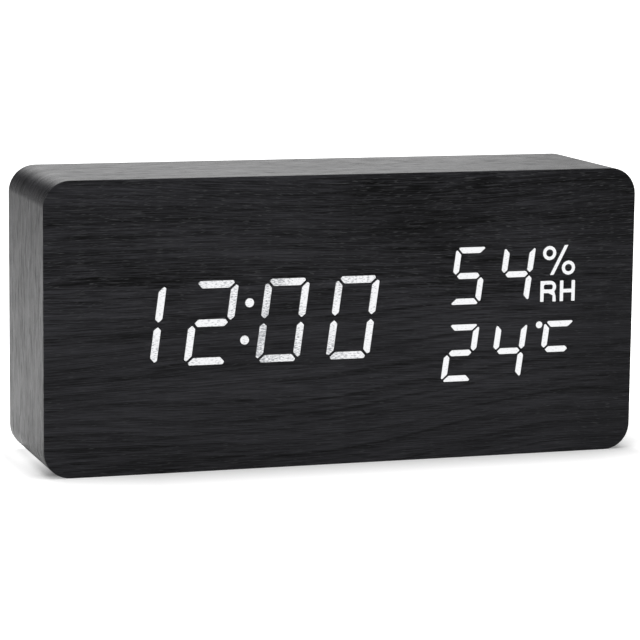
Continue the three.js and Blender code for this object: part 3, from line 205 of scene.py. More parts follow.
class ClockPower(bpy.types.PropertyGroup):
    """The cells and their contacts."""

    cell_radius: length("Cell radius", "Half the width of a cell", 5.25)
    nub_radius: length("Nub radius", "Half the width of a cell's nub", 1.9)
    nub_length: length("Nub length", "How far the nub stands out", 1.2)
    nub_edge: length("Nub edge", "Round of the nub", 0.35)
    cell_edge: length("Cell edge", "Round of a cell's ends", 0.6)
    seal: length("Seal", "Width of the rim at the nub's end", 0.5)
    seal_depth: length("Seal depth", "Depth of the groove inside that rim", 0.3)
    base_rim: length("Base rim", "Width of the rim at the flat end", 1)
    base_dip: length("Base dip", "Depth of the flat end inside its rim", 0.2)
    band_length: length("Band length", "Coloured band at the nub's end", 9)
    sleeve: colour("Sleeve", "Printed sleeve", 0.2, 0.21, 0.225)
    band: colour("Band", "Band at the nub's end", 0.42, 0.19, 0.035)
    steel: colour("Steel", "Plated contacts and ends", 0.6, 0.6, 0.58)
    sheet: length("Sheet", "Thickness of a contact's sheet", 0.4)
    sheet_width: length("Sheet width", "Width of a contact's sheet at one cell", 8.6)
    sheet_length: length("Sheet length", "Depth of a contact's sheet", 9)
    sheet_corner: length("Sheet corner", "Round of a sheet's corners", 1.2)
    wire: length("Wire", "Thickness of a spring's wire", 0.7)
    turns: FloatProperty(name="Turns", description="Turns of a spring", default=3.5)
    spring_length: length("Spring length", "From the sheet to the spring's end", 5.4)
    spring_base: length("Spring base", "Width of a spring at its sheet", 7.2)
    spring_tip: length("Spring tip", "Width of a spring at its cell", 4.4)
    dimple: length("Dimple", "Height of a contact's dimple", 1)
    dimple_base: length("Dimple base", "Width of a dimple at its sheet", 4.4)
    dimple_top: length("Dimple top", "Width of a dimple's top", 2.8)
    dimple_edge: length("Dimple edge", "Round of a dimple's top", 0.3)
    tail_width: length("Tail width", "Width of a contact's tail", 3)


class ClockStage(bpy.types.PropertyGroup):
    """The camera, the floor and the light."""

    azimuth: angle("Azimuth", "Camera round the clock, from the front", -18.054)
    elevation: angle("Elevation", "Camera above the horizon", 8.795)
    roll: angle("Roll", "Camera about its own axis", 0.608)
    distance: length("Distance", "From the camera to its aim", 720.471)
    aim_x: length("Aim X", "The camera's aim, to the right", -0.662)
    aim_z: length("Aim Z", "The camera's aim, above the floor", 32.507)
    lens: FloatProperty(name="Lens", description="Focal length in millimetres", default=163.184)
    sensor: FloatProperty(name="Sensor", description="Sensor's width in millimetres", default=36)
    floor: colour("Floor", "Pale floor", 0.82, 0.82, 0.82)
    lamp_side: length("Lamp side", "From the clock's middle to the lamp, to the right", 20)
    lamp_height: length("Lamp height", "Lamp above the floor", 750)
    lamp_size: length("Lamp size", "Width of the lamp", 800)
    lamp_power: FloatProperty(name="Lamp power", description="Power of the lamp in watts", default=4.8)


# Selecting and editing
def alone(piece):
    """Makes a piece the only selected object, and the active one."""
    bpy.ops.object.select_all(action="DESELECT")
    piece.select_set(True)
    bpy.context.view_layer.objects.active = piece


@contextmanager
def editing(piece):
    """Holds a piece in edit mode."""
    alone(piece)
    bpy.ops.object.mode_set(mode="EDIT")
    yield
    bpy.ops.object.mode_set(mode="OBJECT")


def pick(piece, kind, test):
    """Selects, in edit mode, the faces, edges or corners that pass a test."""
    bpy.ops.mesh.select_mode(type=kind)
    bpy.ops.mesh.select_all(action="DESELECT")
    mesh = bmesh.from_edit_mesh(piece.data)
    mesh.normal_update()
    for part in {"VERT": mesh.verts, "EDGE": mesh.edges, "FACE": mesh.faces}[kind]:
        if test(part):
            part.select_set(True)
    mesh.select_flush_mode()
    bmesh.update_edit_mesh(piece.data)


def middle_of(edge):
    return (edge.verts[0].co + edge.verts[1].co) / 2


def runs_along(edge, direction):
    along = (edge.verts[1].co - edge.verts[0].co).normalized()
    return abs(along.dot(direction)) > 0.999


def is_rim(edge, direction):
    """Whether an edge lies outside between a face that looks in a direction and a wall."""
    if len(edge.link_faces) != 2 or not edge.is_convex:
        return False
    facings = sorted(face.normal.dot(direction) for face in edge.link_faces)
    return facings[1] > 0.99 and abs(facings[0]) < 0.3


def rims(direction):
    """A test for the outer rims of the faces that look in a direction."""
    return lambda edge: is_rim(edge, direction)


def lines_along(direction):
    """A test for the edges that run along a direction."""
    return lambda edge: runs_along(edge, direction)


def extrude(offset):
    """Draws the selected faces out by an offset."""
    bpy.ops.mesh.extrude_region_move(TRANSFORM_OT_translate={"value": offset})


def centre_of(node):
    """The middle of a node's box."""
    low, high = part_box(node)
    return (low + high) / 2


def settled(piece):
    """Puts a piece's place, turn and size into its mesh."""
    alone(piece)
    bpy.ops.object.transform_apply(location=True, rotation=True, scale=True)
    return piece


def block(name, corner, opposite):
    """A block between two opposite corners."""
    bpy.ops.object.select_all(action="DESELECT")
    bpy.ops.mesh.primitive_cube_add(size=1, location=(corner + opposite) / 2)
    piece = bpy.context.object
    piece.name = name
    piece.scale = [abs(side) for side in opposite - corner]
    return settled(piece)


def bar(name, radius, start, end, sides=48):
    """A round bar from one point to another, its sides started in the plane of Z."""
    bpy.ops.object.select_all(action="DESELECT")
    turn = (end - start).to_track_quat("Z", "Y").to_euler()
    bpy.ops.mesh.primitive_cylinder_add(
        vertices=sides,
        radius=radius,
        depth=(end - start).length,
        location=(start + end) / 2,
        rotation=turn,
    )
    piece = bpy.context.object
    piece.name = name
    return settled(piece)


def link_mesh(name, mesh):
    """An object at the origin for a mesh."""
    mesh.name = name
    piece = bpy.data.objects.new(name, mesh)
    bpy.context.scene.collection.objects.link(piece)
    return piece


def copy_of(piece, name, matrix):
    """A copy with a mesh of its own, moved by a matrix."""
    mesh = piece.data.copy()
    mesh.transform(matrix)
    return link_mesh(name, mesh)


def shaped_from(node, name):
    """A copy of a node's solid with its triangles merged into whole faces and no material."""
    piece = link_mesh(name, frame["nodes"][node].data.copy())
    alone(piece)
    bpy.ops.mesh.customdata_custom_splitnormals_clear()
    with editing(piece):
        bpy.ops.mesh.select_all(action="SELECT")
        bpy.ops.mesh.remove_doubles(threshold=1e-6)
        bpy.ops.mesh.dissolve_limited(angle_limit=math.radians(0.5))
    piece.data.materials.clear()
    return piece


def apply_modifier(piece, kind, **settings):
    alone(piece)
    modifier = piece.modifiers.new(kind.title(), kind)
    for name, value in settings.items():
        setattr(modifier, name, value)
    bpy.ops.object.modifier_apply(modifier=modifier.name)


def combine(piece, others, operation="UNION"):
    """Joins other pieces to a piece, or cuts them from it."""
    for other in others:
        apply_modifier(piece, "BOOLEAN", operation=operation, solver="EXACT", object=other)
        bpy.data.objects.remove(other)


def join(piece, others):
    """Puts other pieces into the same object."""
    alone(piece)
    for other in others:
        other.select_set(True)
    bpy.ops.object.join()


def round_edges(piece, width, segments, test):
    """Rounds the edges that pass a test."""
    with editing(piece):
        pick(piece, "EDGE", test)
        bpy.ops.mesh.bevel(offset=width, segments=segments, affect="EDGES", clamp_overlap=True)


def rounded_from(node, name, width, segments):
    """A copy of a node's solid with the rims of its rear faces rounded."""
    piece = shaped_from(node, name)
    round_edges(piece, width, segments, rims(DEEP))
    return piece


def smooth(piece, degrees=35):
    """Shades round stretches smooth and keeps flat faces flat."""
    alone(piece)
    bpy.ops.object.shade_smooth_by_angle(angle=math.radians(degrees))
    apply_modifier(piece, "WEIGHTED_NORMAL", keep_sharp=True, weight=100)


def dress(piece, body, materials, nodes=()):
    """Gives a finished piece its materials, its body and the nodes that it stands for."""
    for material in materials:
        piece.data.materials.append(material)
    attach(piece, body)
    if nodes:
        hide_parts(*nodes)
    return piece


def paint(node, material):
    """Gives a node that keeps its solid a better material."""
    slots = frame["nodes"][node].data.materials
    slots.clear()
    slots.append(material)


def body_of(node):
    """The body that a node belongs to."""
    bodies = frame["record"]["behaviour"]["bodies"]
    return next(body for body, nodes in bodies.items() if node in nodes)


# Material graphs
class Graph:
    """Adds and joins the nodes of a material, a world or a node group."""

    def __init__(self, tree):
        self.tree = tree

    def node(self, kind, inputs=None, **settings):
        made = self.tree.nodes.new("ShaderNode" + kind)
        for name, value in settings.items():
            setattr(made, name, value)
        for name, value in (inputs or {}).items():
            self.feed(made.inputs[name], value)
        return made

    def feed(self, socket, value):
        if isinstance(value, bpy.types.NodeSocket):
            self.tree.links.new(value, socket)
        else:
            socket.default_value = value

    def math(self, operation, first, second=0.0):
        return self.node("Math", {0: first, 1: second}, operation=operation).outputs[0]

    def times(self, first, second):
        return self.math("MULTIPLY", first, second)

    def plus(self, first, second):
        return self.math("ADD", first, second)

    def minus(self, first, second):
        return self.math("SUBTRACT", first, second)

    def larger(self, first, second):
        return self.math("MAXIMUM", first, second)

    def vector(self, operation, first, second):
        return self.node("VectorMath", {0: first, 1: second}, operation=operation).outputs[0]

    def scaled(self, vector, factor):
        return self.node("VectorMath", {0: vector, "Scale": factor}, operation="SCALE").outputs[0]

    def dot(self, first, second):
        made = self.node("VectorMath", {0: first, 1: second}, operation="DOT_PRODUCT")
        return made.outputs["Value"]

    def size(self, vector):
        """The length of a vector."""
        return self.node("VectorMath", {0: vector}, operation="LENGTH").outputs["Value"]

    def axes(self, vector):
        """A vector's X, Y and Z."""
        return self.node("SeparateXYZ", {0: vector}).outputs

    def mix(self, factor, first, second):
        """A colour between two others."""
        return self.node("Mix", {0: factor, 6: first, 7: second}, data_type="RGBA").outputs[2]

    def between(self, value, low, high, to_low=0.0, to_high=1.0, steps="LINEAR"):
        ends = {"From Min": low, "From Max": high, "To Min": to_low, "To Max": to_high}
        return self.node("MapRange", {"Value": value, **ends}, interpolation_type=steps).outputs[0]

    def blend(self, factor, first, second):
        """A value between two others."""
        return self.node("Mix", {0: factor, 2: first, 3: second}, data_type="FLOAT").outputs[0]

    def noise(self, vector, scale, detail=2.0, roughness=0.5):
        inputs = {"Vector": vector, "Scale": scale, "Detail": detail, "Roughness": roughness}
        return self.node("TexNoise", inputs).outputs[0]

    def place(self):
        return self.node("TexCoord").outputs["Object"]

    def use(self, group, **inputs):
        """A node group's outputs, with its inputs set by their names."""
        made = self.node("Group", node_tree=group)
        for name, value in inputs.items():
            self.feed(made.inputs[name.replace("_", " ")], value)
        return made.outputs


def opaque(rgb):
    return (*rgb, 1.0)


SOCKETS = {"value": "NodeSocketFloat", "vector": "NodeSocketVector"}


def new_group(name, inputs, outputs):
    """A node group with named sockets: its graph, its input sockets and its output sockets."""
    tree = bpy.data.node_groups.new(name, "ShaderNodeTree")
    for socket, (kind, default) in inputs.items():
        made = tree.interface.new_socket(name=socket, in_out="INPUT", socket_type=SOCKETS[kind])
        made.default_value = default
    for socket, kind in outputs.items():
        tree.interface.new_socket(name=socket, in_out="OUTPUT", socket_type=SOCKETS[kind])
    source = tree.nodes.new("NodeGroupInput").outputs
    sink = tree.nodes.new("NodeGroupOutput").inputs
    return Graph(tree), source, sink


def grain_place(graph, source, place, along, across):
    """A place counted in grain lengths along the grain and in grain widths across it."""
    lengths = graph.scaled(source["Along"], 1 / along)
    widths = graph.scaled(source["Across"], 1 / across)
    return graph.vector("MULTIPLY", place, graph.vector("ADD", lengths, widths))


def wood_grain():
    """Tone, growth bands and lines, fibres and pores of the wood-grain film."""
    inputs = {
        "Vector": ("vector", (0, 0, 0)),
        "Along": ("vector", (1, 0, 0)),
        "Across": ("vector", (0, 0, 1)),
    }
    outputs = {name: "value" for name in ("Tone", "Bands", "Lines", "Fibres", "Pores", "Height")}
    graph, source, sink = new_group("Wood grain", inputs, outputs)

    def layer(place, along, across, detail):
        """Noise stretched along the grain, its sizes in millimetres."""
        counted = grain_place(graph, source, place, along * MM, across * MM)
        return graph.between(graph.noise(counted, 1.0, detail, 0.6), 0.28, 0.72)

    slow = graph.minus(layer(source["Vector"], 120, 18, 0.0), 0.5)
    sway = graph.scaled(source["Across"], graph.times(slow, 4 * MM))
    place = graph.vector("ADD", source["Vector"], sway)
    patches = layer(place, 60, 9, 1.0)
    stripes = layer(place, 75, 1.4, 2.0)
    fibres = layer(place, 10, 0.22, 3.0)
    pores = layer(place, 7, 0.17, 1.0)

    ring_width = 3.7 * MM
    wave = graph.times(layer(source["Vector"], 45, 7, 1.0), 0.9)
    count = graph.plus(graph.times(graph.dot(place, source["Across"]), 1 / ring_width), wave)
    ring = graph.math("FRACT", count)
    light = graph.times(graph.between(ring, 0.0, 0.14), graph.between(ring, 0.62, 0.16))
    shade = graph.times(graph.between(ring, 0.7, 0.92), graph.between(ring, 1.0, 0.97))
    lines = graph.minus(light, shade)

    bands = graph.blend(0.52, patches, stripes)
    tone = graph.blend(0.46, bands, fibres)
    open_pores = graph.between(pores, 0.78, 1.0)
    height = graph.minus(graph.times(fibres, 0.5), open_pores)

    graph.feed(sink["Tone"], graph.between(tone, 0.24, 0.76))
    graph.feed(sink["Bands"], bands)
    graph.feed(sink["Lines"], lines)
    graph.feed(sink["Fibres"], fibres)
    graph.feed(sink["Pores"], open_pores)
    graph.feed(sink["Height"], height)
    return graph.tree


def moulded_skin():
    """The fine spark texture of moulded plastic, with smudges from handling."""
    inputs = {"Grain": ("value", 0.35 * MM), "Smudge": ("value", 14 * MM)}
    outputs = {"Height": "value", "Smudges": "value"}
    graph, source, sink = new_group("Moulded skin", inputs, outputs)
    place = graph.place()
    fine = graph.noise(place, graph.math("DIVIDE", 1.0, source["Grain"]), 2.0, 0.6)
    smudges = graph.noise(place, graph.math("DIVIDE", 1.0, source["Smudge"]), 3.0, 0.6)
    graph.feed(sink["Height"], fine)
    graph.feed(sink["Smudges"], graph.between(smudges, 0.35, 0.65))
    return graph.tree


def worn_edges():
    """A mask of the outer edges, broken up where they are rubbed."""
    inputs = {"Radius": ("value", 0.25 * MM), "Patch": ("value", 1.5 * MM), "Share": ("value", 0.5)}
    graph, source, sink = new_group("Worn edges", inputs, {"Mask": "value"})
    soft = graph.node("Bevel", {"Radius": source["Radius"]}, samples=4).outputs[0]
    true = graph.node("NewGeometry").outputs["Normal"]
    edge = graph.between(graph.dot(soft, true), 0.985, 0.86)
    patches = graph.noise(graph.place(), graph.math("DIVIDE", 1.0, source["Patch"]), 3.0, 0.7)
    least = graph.minus(0.85, source["Share"])
    rubbed = graph.between(patches, least, graph.plus(least, 0.12))
    graph.feed(sink["Mask"], graph.times(edge, rubbed))
    return graph.tree


def new_material(name):
    """A material with its graph and its Principled shader."""
    material = bpy.data.materials.new(name)
    material.use_nodes = True
    material.node_tree.nodes.clear()
    graph = Graph(material.node_tree)
    shader = graph.node("BsdfPrincipled")
    output = graph.node("OutputMaterial")
    graph.feed(output.inputs["Surface"], shader.outputs[0])
    return material, graph, shader.inputs


def bump(graph, height, strength, distance):
    inputs = {"Height": height, "Strength": strength, "Distance": distance}
    return graph.node("Bump", inputs).outputs[0]


class Finishes:
    """The clock's materials, made once from the settings and kept by name."""

    def __init__(self, scene):
        self.grain = wood_grain()
        self.skin = moulded_skin()
        self.edges = worn_edges()
        film, cover, controls = scene.clock_film, scene.clock_cover, scene.clock_controls
        power = scene.clock_power
        self.front = self.front_film(film)
        self.wrap = self.wrap_film(film)
        self.lit = self.lit_guide("lit film", scene.clock_display, 1.0)
        self.dots = self.lit_guide("lit dots", scene.clock_display, 0.45)
        self.fibreboard = self.milled_fibreboard()
        self.cover = self.moulded("cover plastic", cover.plastic, 0.52, 0.3 * MM)
        self.mask = self.moulded("mask plastic", (0.004, 0.004, 0.004), 0.6, 0.25 * MM)
        self.guide = self.moulded("guide plastic", (0.62, 0.63, 0.64), 0.4, 0.3 * MM)
        self.button = self.moulded("button plastic", controls.plastic, 0.36, 0.12 * MM)
        self.component = self.moulded("component plastic", (0.008, 0.008, 0.0085), 0.45, 0.15 * MM)
        self.sensor = self.moulded("sensor plastic", (0.74, 0.76, 0.78), 0.4, 0.2 * MM)
        self.paint = self.moulded("printed sign", controls.paint, 0.5, 0.1 * MM)
        self.steel = self.plated("plated steel", power.steel, 0.28)
        self.screw = self.plated("screw steel", scene.clock_screws.steel, 0.34)
        self.gold = self.plated("gold plate", controls.gold, 0.22)
        self.sleeve = self.printed_sleeve("cell sleeve", power.sleeve, 0.34)
        self.band = self.printed_sleeve("cell band", power.band, 0.3)
        self.board = self.circuit_board()
        self.red = self.insulation("red insulation", (0.36, 0.012, 0.012))
        self.black = self.insulation("black insulation", (0.007, 0.007, 0.007))
        self.grey = self.insulation("grey insulation", (0.24, 0.24, 0.26))

    def front_film(self, film):
        """Satin film with straight fibres, whose lower growth bands climb to the right."""
        material, graph, shader = new_material("front film")
        place = graph.place()
        axes = graph.axes(place)
        x, z = axes["X"], axes["Z"]
        run = graph.between(x, -20 * MM, 62 * MM, 0.0, -9 * MM, "SMOOTHSTEP")
        climb = graph.times(run, graph.between(z, 52 * MM, 26 * MM))
        climbing = graph.vector("ADD", place, graph.node("CombineXYZ", {"Z": climb}).outputs[0])
        growth = graph.use(self.grain, Vector=climbing, Along=(1, 0, 0), Across=(0, 0, 1))
        threads = graph.use(self.grain, Vector=place, Along=(1, 0, 0), Across=(0, 0, 1))
        flecks = graph.use(self.grain, Vector=place, Along=(2.6, 0, 0), Across=(0, 0, 1))["Pores"]

        fibrous = graph.between(z, 20 * MM, 40 * MM, 0.62, 0.54)
        tone = graph.minus(graph.blend(fibrous, growth["Bands"], threads["Fibres"]), 0.5)
        contrast = graph.between(z, 28 * MM, 46 * MM, 1.55, 2.7)
        tone = graph.plus(graph.times(tone, contrast), 0.5)
        drawn = graph.between(z, 45 * MM, 24 * MM, 0.03, 0.14)
        tone = graph.plus(tone, graph.times(growth["Lines"], drawn))
        # Darker towards the right end and the top, and lighter round a pale patch right of the middle
        end = graph.between(x, 50 * MM, 68 * MM, 1.0, 0.7)
        top = graph.between(z, 30 * MM, 64 * MM, 1.0, 0.77)
        tone = graph.times(graph.larger(tone, 0.0), graph.times(end, top))
        pale_patch = (36 * MM, 0, 37 * MM)
        pale_patch_scale = (33, 0, 80)
        from_pale_patch = graph.vector("MULTIPLY", graph.vector("SUBTRACT", place, pale_patch), pale_patch_scale)
        tone = graph.times(tone, graph.between(graph.size(from_pale_patch), 1.0, 0.2, 1.0, 1.3))

        wood = graph.mix(tone, opaque(film.dark), opaque(film.light))
        streaks = graph.times(threads["Pores"], graph.between(z, 30 * MM, 55 * MM, 0.25, 0.75))
        short = graph.times(flecks, graph.between(z, 32 * MM, 50 * MM, 0.5, 1.0))
        wood = graph.mix(graph.larger(streaks, short), wood, opaque(film.pore))
        worn = graph.use(self.edges, Radius=0.2 * MM, Patch=1.1 * MM, Share=0.3)["Mask"]
        graph.feed(shader["Base Color"], graph.mix(worn, wood, opaque(film.worn)))
        graph.feed(shader["Roughness"], graph.between(threads["Tone"], 0.0, 1.0, 0.48, 0.38))
        graph.feed(shader["Specular IOR Level"], 0.12)
        graph.feed(shader["Normal"], bump(graph, threads["Height"], 0.3, 0.05 * MM))
        return material

    def wrap_film(self, film):
        """The same film with its grain round the case, its pores dark and its fibres glossy."""
        material, graph, shader = new_material("wrap film")
        place = graph.place()
        grain = graph.use(self.grain, Vector=place, Along=(1.4, 0, 1.4), Across=(0, 0.59, 0))
        hairs = graph.use(self.grain, Vector=place, Along=(1, 0, 1), Across=(0, 0.16, 0))
        wood = graph.mix(grain["Tone"], opaque(film.wrap_dark), opaque(film.wrap_light))
        wood = graph.mix(grain["Pores"], wood, opaque(film.wrap_dark))
        graph.feed(shader["Base Color"], wood)
        sheen = graph.between(grain["Tone"], 0.0, 1.0, 0.32, 0.2)
        dull = graph.times(grain["Pores"], 0.35)
        graph.feed(shader["Roughness"], graph.plus(sheen, dull))
        graph.feed(shader["Specular IOR Level"], 0.12)
        gloss = graph.between(grain["Fibres"], 0.2, 0.8, 0.28, 0.97)
        gaps = graph.between(hairs["Pores"], 0.0, 0.4, 1.0, 0.0)
        graph.feed(shader["Coat Weight"], graph.times(gloss, gaps))
        graph.feed(shader["Coat Roughness"], 0.2)
        graph.feed(shader["Coat IOR"], 1.22)
        graph.feed(shader["Normal"], bump(graph, grain["Height"], 0.25, 0.03 * MM))
        return material

    def lit_guide(self, name, display, most):
        """Light through the film, dimmed in places by its pores, most in the middle of the time."""
        material, graph, shader = new_material(name)
        place = graph.place()
        across = graph.axes(place)["X"]
        time_middle = -23 * MM
        from_middle = graph.math("ABSOLUTE", graph.minus(across, time_middle))
        dense = graph.between(from_middle, 5 * MM, 40 * MM, 1.05 * most, 0.4 * most)
        dense = graph.times(dense, graph.between(across, -5 * MM, 26 * MM, 1.0, 0.45))
        patches = graph.between(graph.noise(place, 75.0, 2.0), 0.38, 0.62, 0.35, 1.0)
        short = graph.vector("MULTIPLY", place, (1 / (0.8 * MM), 0.0, 1 / (0.25 * MM)))
        least = graph.between(graph.times(dense, patches), 0.0, 1.0, 0.6, 0.36)
        pores = graph.minus(graph.noise(short, 1.0, 2.0, 0.6), least)
        specks = graph.between(pores, 0.0, 0.2)
        light = graph.mix(specks, opaque(display.lit), opaque(display.speck))
        film = graph.mix(specks, (0.05, 0.05, 0.05, 1), (0.02, 0.02, 0.02, 1))
        graph.feed(shader["Emission Color"], light)
        graph.feed(shader["Emission Strength"], 1.0)
        graph.feed(shader["Base Color"], film)
        graph.feed(shader["Roughness"], graph.between(specks, 0.0, 1.0, 0.5, 0.65))
        graph.feed(shader["Specular IOR Level"], 0.1)
        return material

    def milled_fibreboard(self):
        """Pressed brown fibres with lighter flecks."""
        material, graph, shader = new_material("milled fibreboard")
        place = graph.place()
        fibres = graph.noise(place, 2200.0, 4.0, 0.7)
        clouds = graph.noise(place, 120.0, 2.0)
        brown = graph.mix(fibres, (0.06, 0.036, 0.02, 1), (0.2, 0.13, 0.075, 1))
        graph.feed(shader["Base Color"], graph.mix(clouds, brown, (0.09, 0.058, 0.034, 1)))
        graph.feed(shader["Roughness"], graph.between(fibres, 0.3, 0.7, 0.95, 0.8))
        graph.feed(shader["Normal"], bump(graph, fibres, 0.5, 0.1 * MM))
        return material

    def moulded(self, name, rgb, roughness, grain):
        """Moulded plastic with a fine skin, smudges and lighter rubbed edges."""
        material, graph, shader = new_material(name)
        skin = graph.use(self.skin, Grain=grain, Smudge=16 * MM)
        worn = graph.use(self.edges, Radius=0.22 * MM, Patch=1.8 * MM, Share=0.42)["Mask"]
        pale = tuple(min(1.0, 1.6 * part + 0.02) for part in rgb)
        body = graph.mix(skin["Smudges"], opaque(rgb), opaque(tuple(0.8 * part for part in rgb)))
        rubbed = graph.mix(graph.times(worn, 0.5), body, opaque(pale))
        graph.feed(shader["Base Color"], rubbed)
        low, high = roughness - 0.06, roughness + 0.07
        graph.feed(shader["Roughness"], graph.between(skin["Smudges"], 0.0, 1.0, high, low))
        graph.feed(shader["Normal"], bump(graph, skin["Height"], 0.45, 0.05 * MM))
        return material

    def plated(self, name, rgb, roughness):
        """Plated metal with fine drawn scratches and duller patches."""
        material, graph, shader = new_material(name)
        stretched = graph.vector("MULTIPLY", graph.place(), (9000.0, 900.0, 9000.0))
        scratches = graph.noise(stretched, 1.0, 2.0, 0.6)
        patches = graph.noise(graph.place(), 320.0, 2.0)
        dull = tuple(0.7 * part for part in rgb)
        graph.feed(shader["Base Color"], graph.mix(patches, opaque(rgb), opaque(dull)))
        graph.feed(shader["Metallic"], 1.0)
        rough = graph.between(scratches, 0.3, 0.7, roughness - 0.05, roughness + 0.12)
        graph.feed(shader["Roughness"], rough)
        graph.feed(shader["Normal"], bump(graph, scratches, 0.15, 0.02 * MM))
        return material

    def printed_sleeve(self, name, rgb, roughness):
        """A shrunk sleeve with a faint brushed print under its gloss."""
        material, graph, shader = new_material(name)
        stretched = graph.vector("MULTIPLY", graph.place(), (60.0, 5000.0, 5000.0))
        brushed = graph.noise(stretched, 1.0, 2.0, 0.6)
        deep = tuple(0.72 * part for part in rgb)
        graph.feed(shader["Base Color"], graph.mix(brushed, opaque(rgb), opaque(deep)))
        graph.feed(shader["Metallic"], 0.6)
        rough = graph.between(brushed, 0.3, 0.7, roughness - 0.06, roughness + 0.06)
        graph.feed(shader["Roughness"], rough)
        graph.feed(shader["Normal"], bump(graph, brushed, 0.1, 0.02 * MM))
        return material

    def circuit_board(self):
        """Green solder mask with copper tracks faintly raised under it."""
        material, graph, shader = new_material("circuit board")
        place = graph.place()
        inputs = {"Vector": place, "Scale": 260.0, "Detail": 0.0, "Roughness": 0.0}
        cells = graph.node("TexVoronoi", inputs, distance="MANHATTAN", feature="F1").outputs["Distance"]
        tracks = graph.between(graph.math("PINGPONG", cells, 0.18), 0.07, 0.09)
        glass = graph.noise(place, 1800.0, 2.0)
        green = graph.mix(tracks, (0.008, 0.07, 0.026, 1), (0.014, 0.12, 0.045, 1))
        woven = graph.times(glass, 0.3)
        graph.feed(shader["Base Color"], graph.mix(woven, green, (0.01, 0.05, 0.03, 1)))
        graph.feed(shader["Roughness"], graph.between(glass, 0.3, 0.7, 0.3, 0.42))
        graph.feed(shader["Normal"], bump(graph, tracks, 0.3, 0.04 * MM))
        return material

    def insulation(self, name, rgb):
        """Soft insulation with a faint extrusion grain."""
        material, graph, shader = new_material(name)
        grain = graph.noise(graph.place(), 2600.0, 3.0)
        pale = tuple(1.35 * part for part in rgb)
        graph.feed(shader["Base Color"], graph.mix(grain, opaque(rgb), opaque(pale)))
        graph.feed(shader["Roughness"], graph.between(grain, 0.3, 0.7, 0.42, 0.58))
        graph.feed(shader["Normal"], bump(graph, grain, 0.2, 0.03 * MM))
        return material


FINISHES = {}


def finishes():
    """The clock's materials, made at the first call."""
    if not FINISHES:
        FINISHES["clock"] = Finishes(bpy.context.scene)
    return FINISHES["clock"]


# Films
def near_outline(point, reach):
    """Whether a point lies near the outside of the case, seen from the front."""
    half_width = CASE_HIGH.x - reach
    half_height = (CASE_HIGH.z - CASE_LOW.z) / 2 - reach
    return abs(point.x) > half_width or abs(point.z - CASE_MIDDLE.z) > half_height


def wrap_piece(film):
    """The film over the top, the sides and the round corners."""
    low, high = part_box("wrap_film")
    base_low, base_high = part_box("base_film")
    thickness = base_high.z - base_low.z
    piece = block("wrap", low, high)
    with editing(piece):
        pick(piece, "EDGE", lines_along(DEEP))
        bpy.ops.mesh.bevel(offset=film.corner_radius, segments=film.corner_steps, affect="EDGES")
        pick(piece, "FACE", lambda face: abs(face.normal.y) > 0.9 or face.normal.z < -0.9999)
        bpy.ops.mesh.delete(type="FACE")
    apply_modifier(piece, "SOLIDIFY", thickness=thickness, offset=-1, use_even_offset=True)
    smooth(piece)
    return piece


def base_piece(film):
    """The strip of film that the clock stands on."""
    piece = block("base_strip", *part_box("base_film"))
    round_edges(piece, film.edge, 2, rims(-UP))
    smooth(piece)
    return piece


def dark_middles(display):
    """Film inside the rings of the percent sign and inside the letter R."""
    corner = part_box("light_guide_humidity_sign")[0]
    front, back = (side.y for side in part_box("front_film"))

    def place(spot, y):
        return Vector((corner.x + spot[0] * MM, y, corner.z + spot[1] * MM))

    middles = []
    for spot in RING_PLACES:
        radius = display.ring_bore / 2
        middles.append(bar("ring_middle", radius, place(spot, back), place(spot, front), sides=32))
    half = Vector((display.counter_width / 2, 0, display.counter_height / 2))
    counter = block("letter_middle", place(LETTER_PLACE, front) - half, place(LETTER_PLACE, back) + half)
    round_edges(counter, display.counter_round, 4, lines_along(DEEP))
    return [*middles, counter]


class CLOCK_OT_films(bpy.types.Operator):
    """Wraps the case in its wood-grain film"""

    bl_idname = "clock.films"
    bl_label = "Wood-grain films"

    def execute(self, context):
        film = context.scene.clock_film
        finish = finishes()
        dress(wrap_piece(film), "root", [finish.wrap], ["wrap_film"])
        dress(base_piece(film), "root", [finish.wrap], ["base_film"])

        def at_outside(edge):
            return is_rim(edge, -DEEP) and near_outline(middle_of(edge), film.corner_radius)

        front = shaped_from("front_film", "front_panel")
        round_edges(front, film.edge, 3, at_outside)
        smooth(front, 25)
        join(front, dark_middles(context.scene.clock_display))
        front.data.materials.clear()
        dress(front, "root", [finish.front], ["front_film"])

        rear = rounded_from("rear_film", "rear_panel", film.edge, 3)
        smooth(rear, 25)
        dress(rear, "root", [finish.front], ["rear_film"])

        paint("case_body", finish.fibreboard)
        return {"FINISHED"}


# Display
def at_front(point):
    """Whether a point lies in the front of the clock."""
    return point.y < CASE_LOW.y + 0.05 * MM


def is_lit_corner(edge):
    """Whether an edge runs back from a sharp outer corner of a lit shape."""
    if len(edge.link_faces) != 2 or not edge.is_convex or not runs_along(edge, DEEP):
        return False
    is_sharp = edge.calc_face_angle() > math.radians(25)
    return is_sharp and any(at_front(corner.co) for corner in edge.verts)


def is_lit_tip(edge, width):
    """Whether an edge is the narrow flat at a pointed end of a lit shape."""
    if runs_along(edge, DEEP) or edge.calc_length() > width:
        return False
    return all(any(is_lit_corner(other) for other in corner.link_edges) for corner in edge.verts)


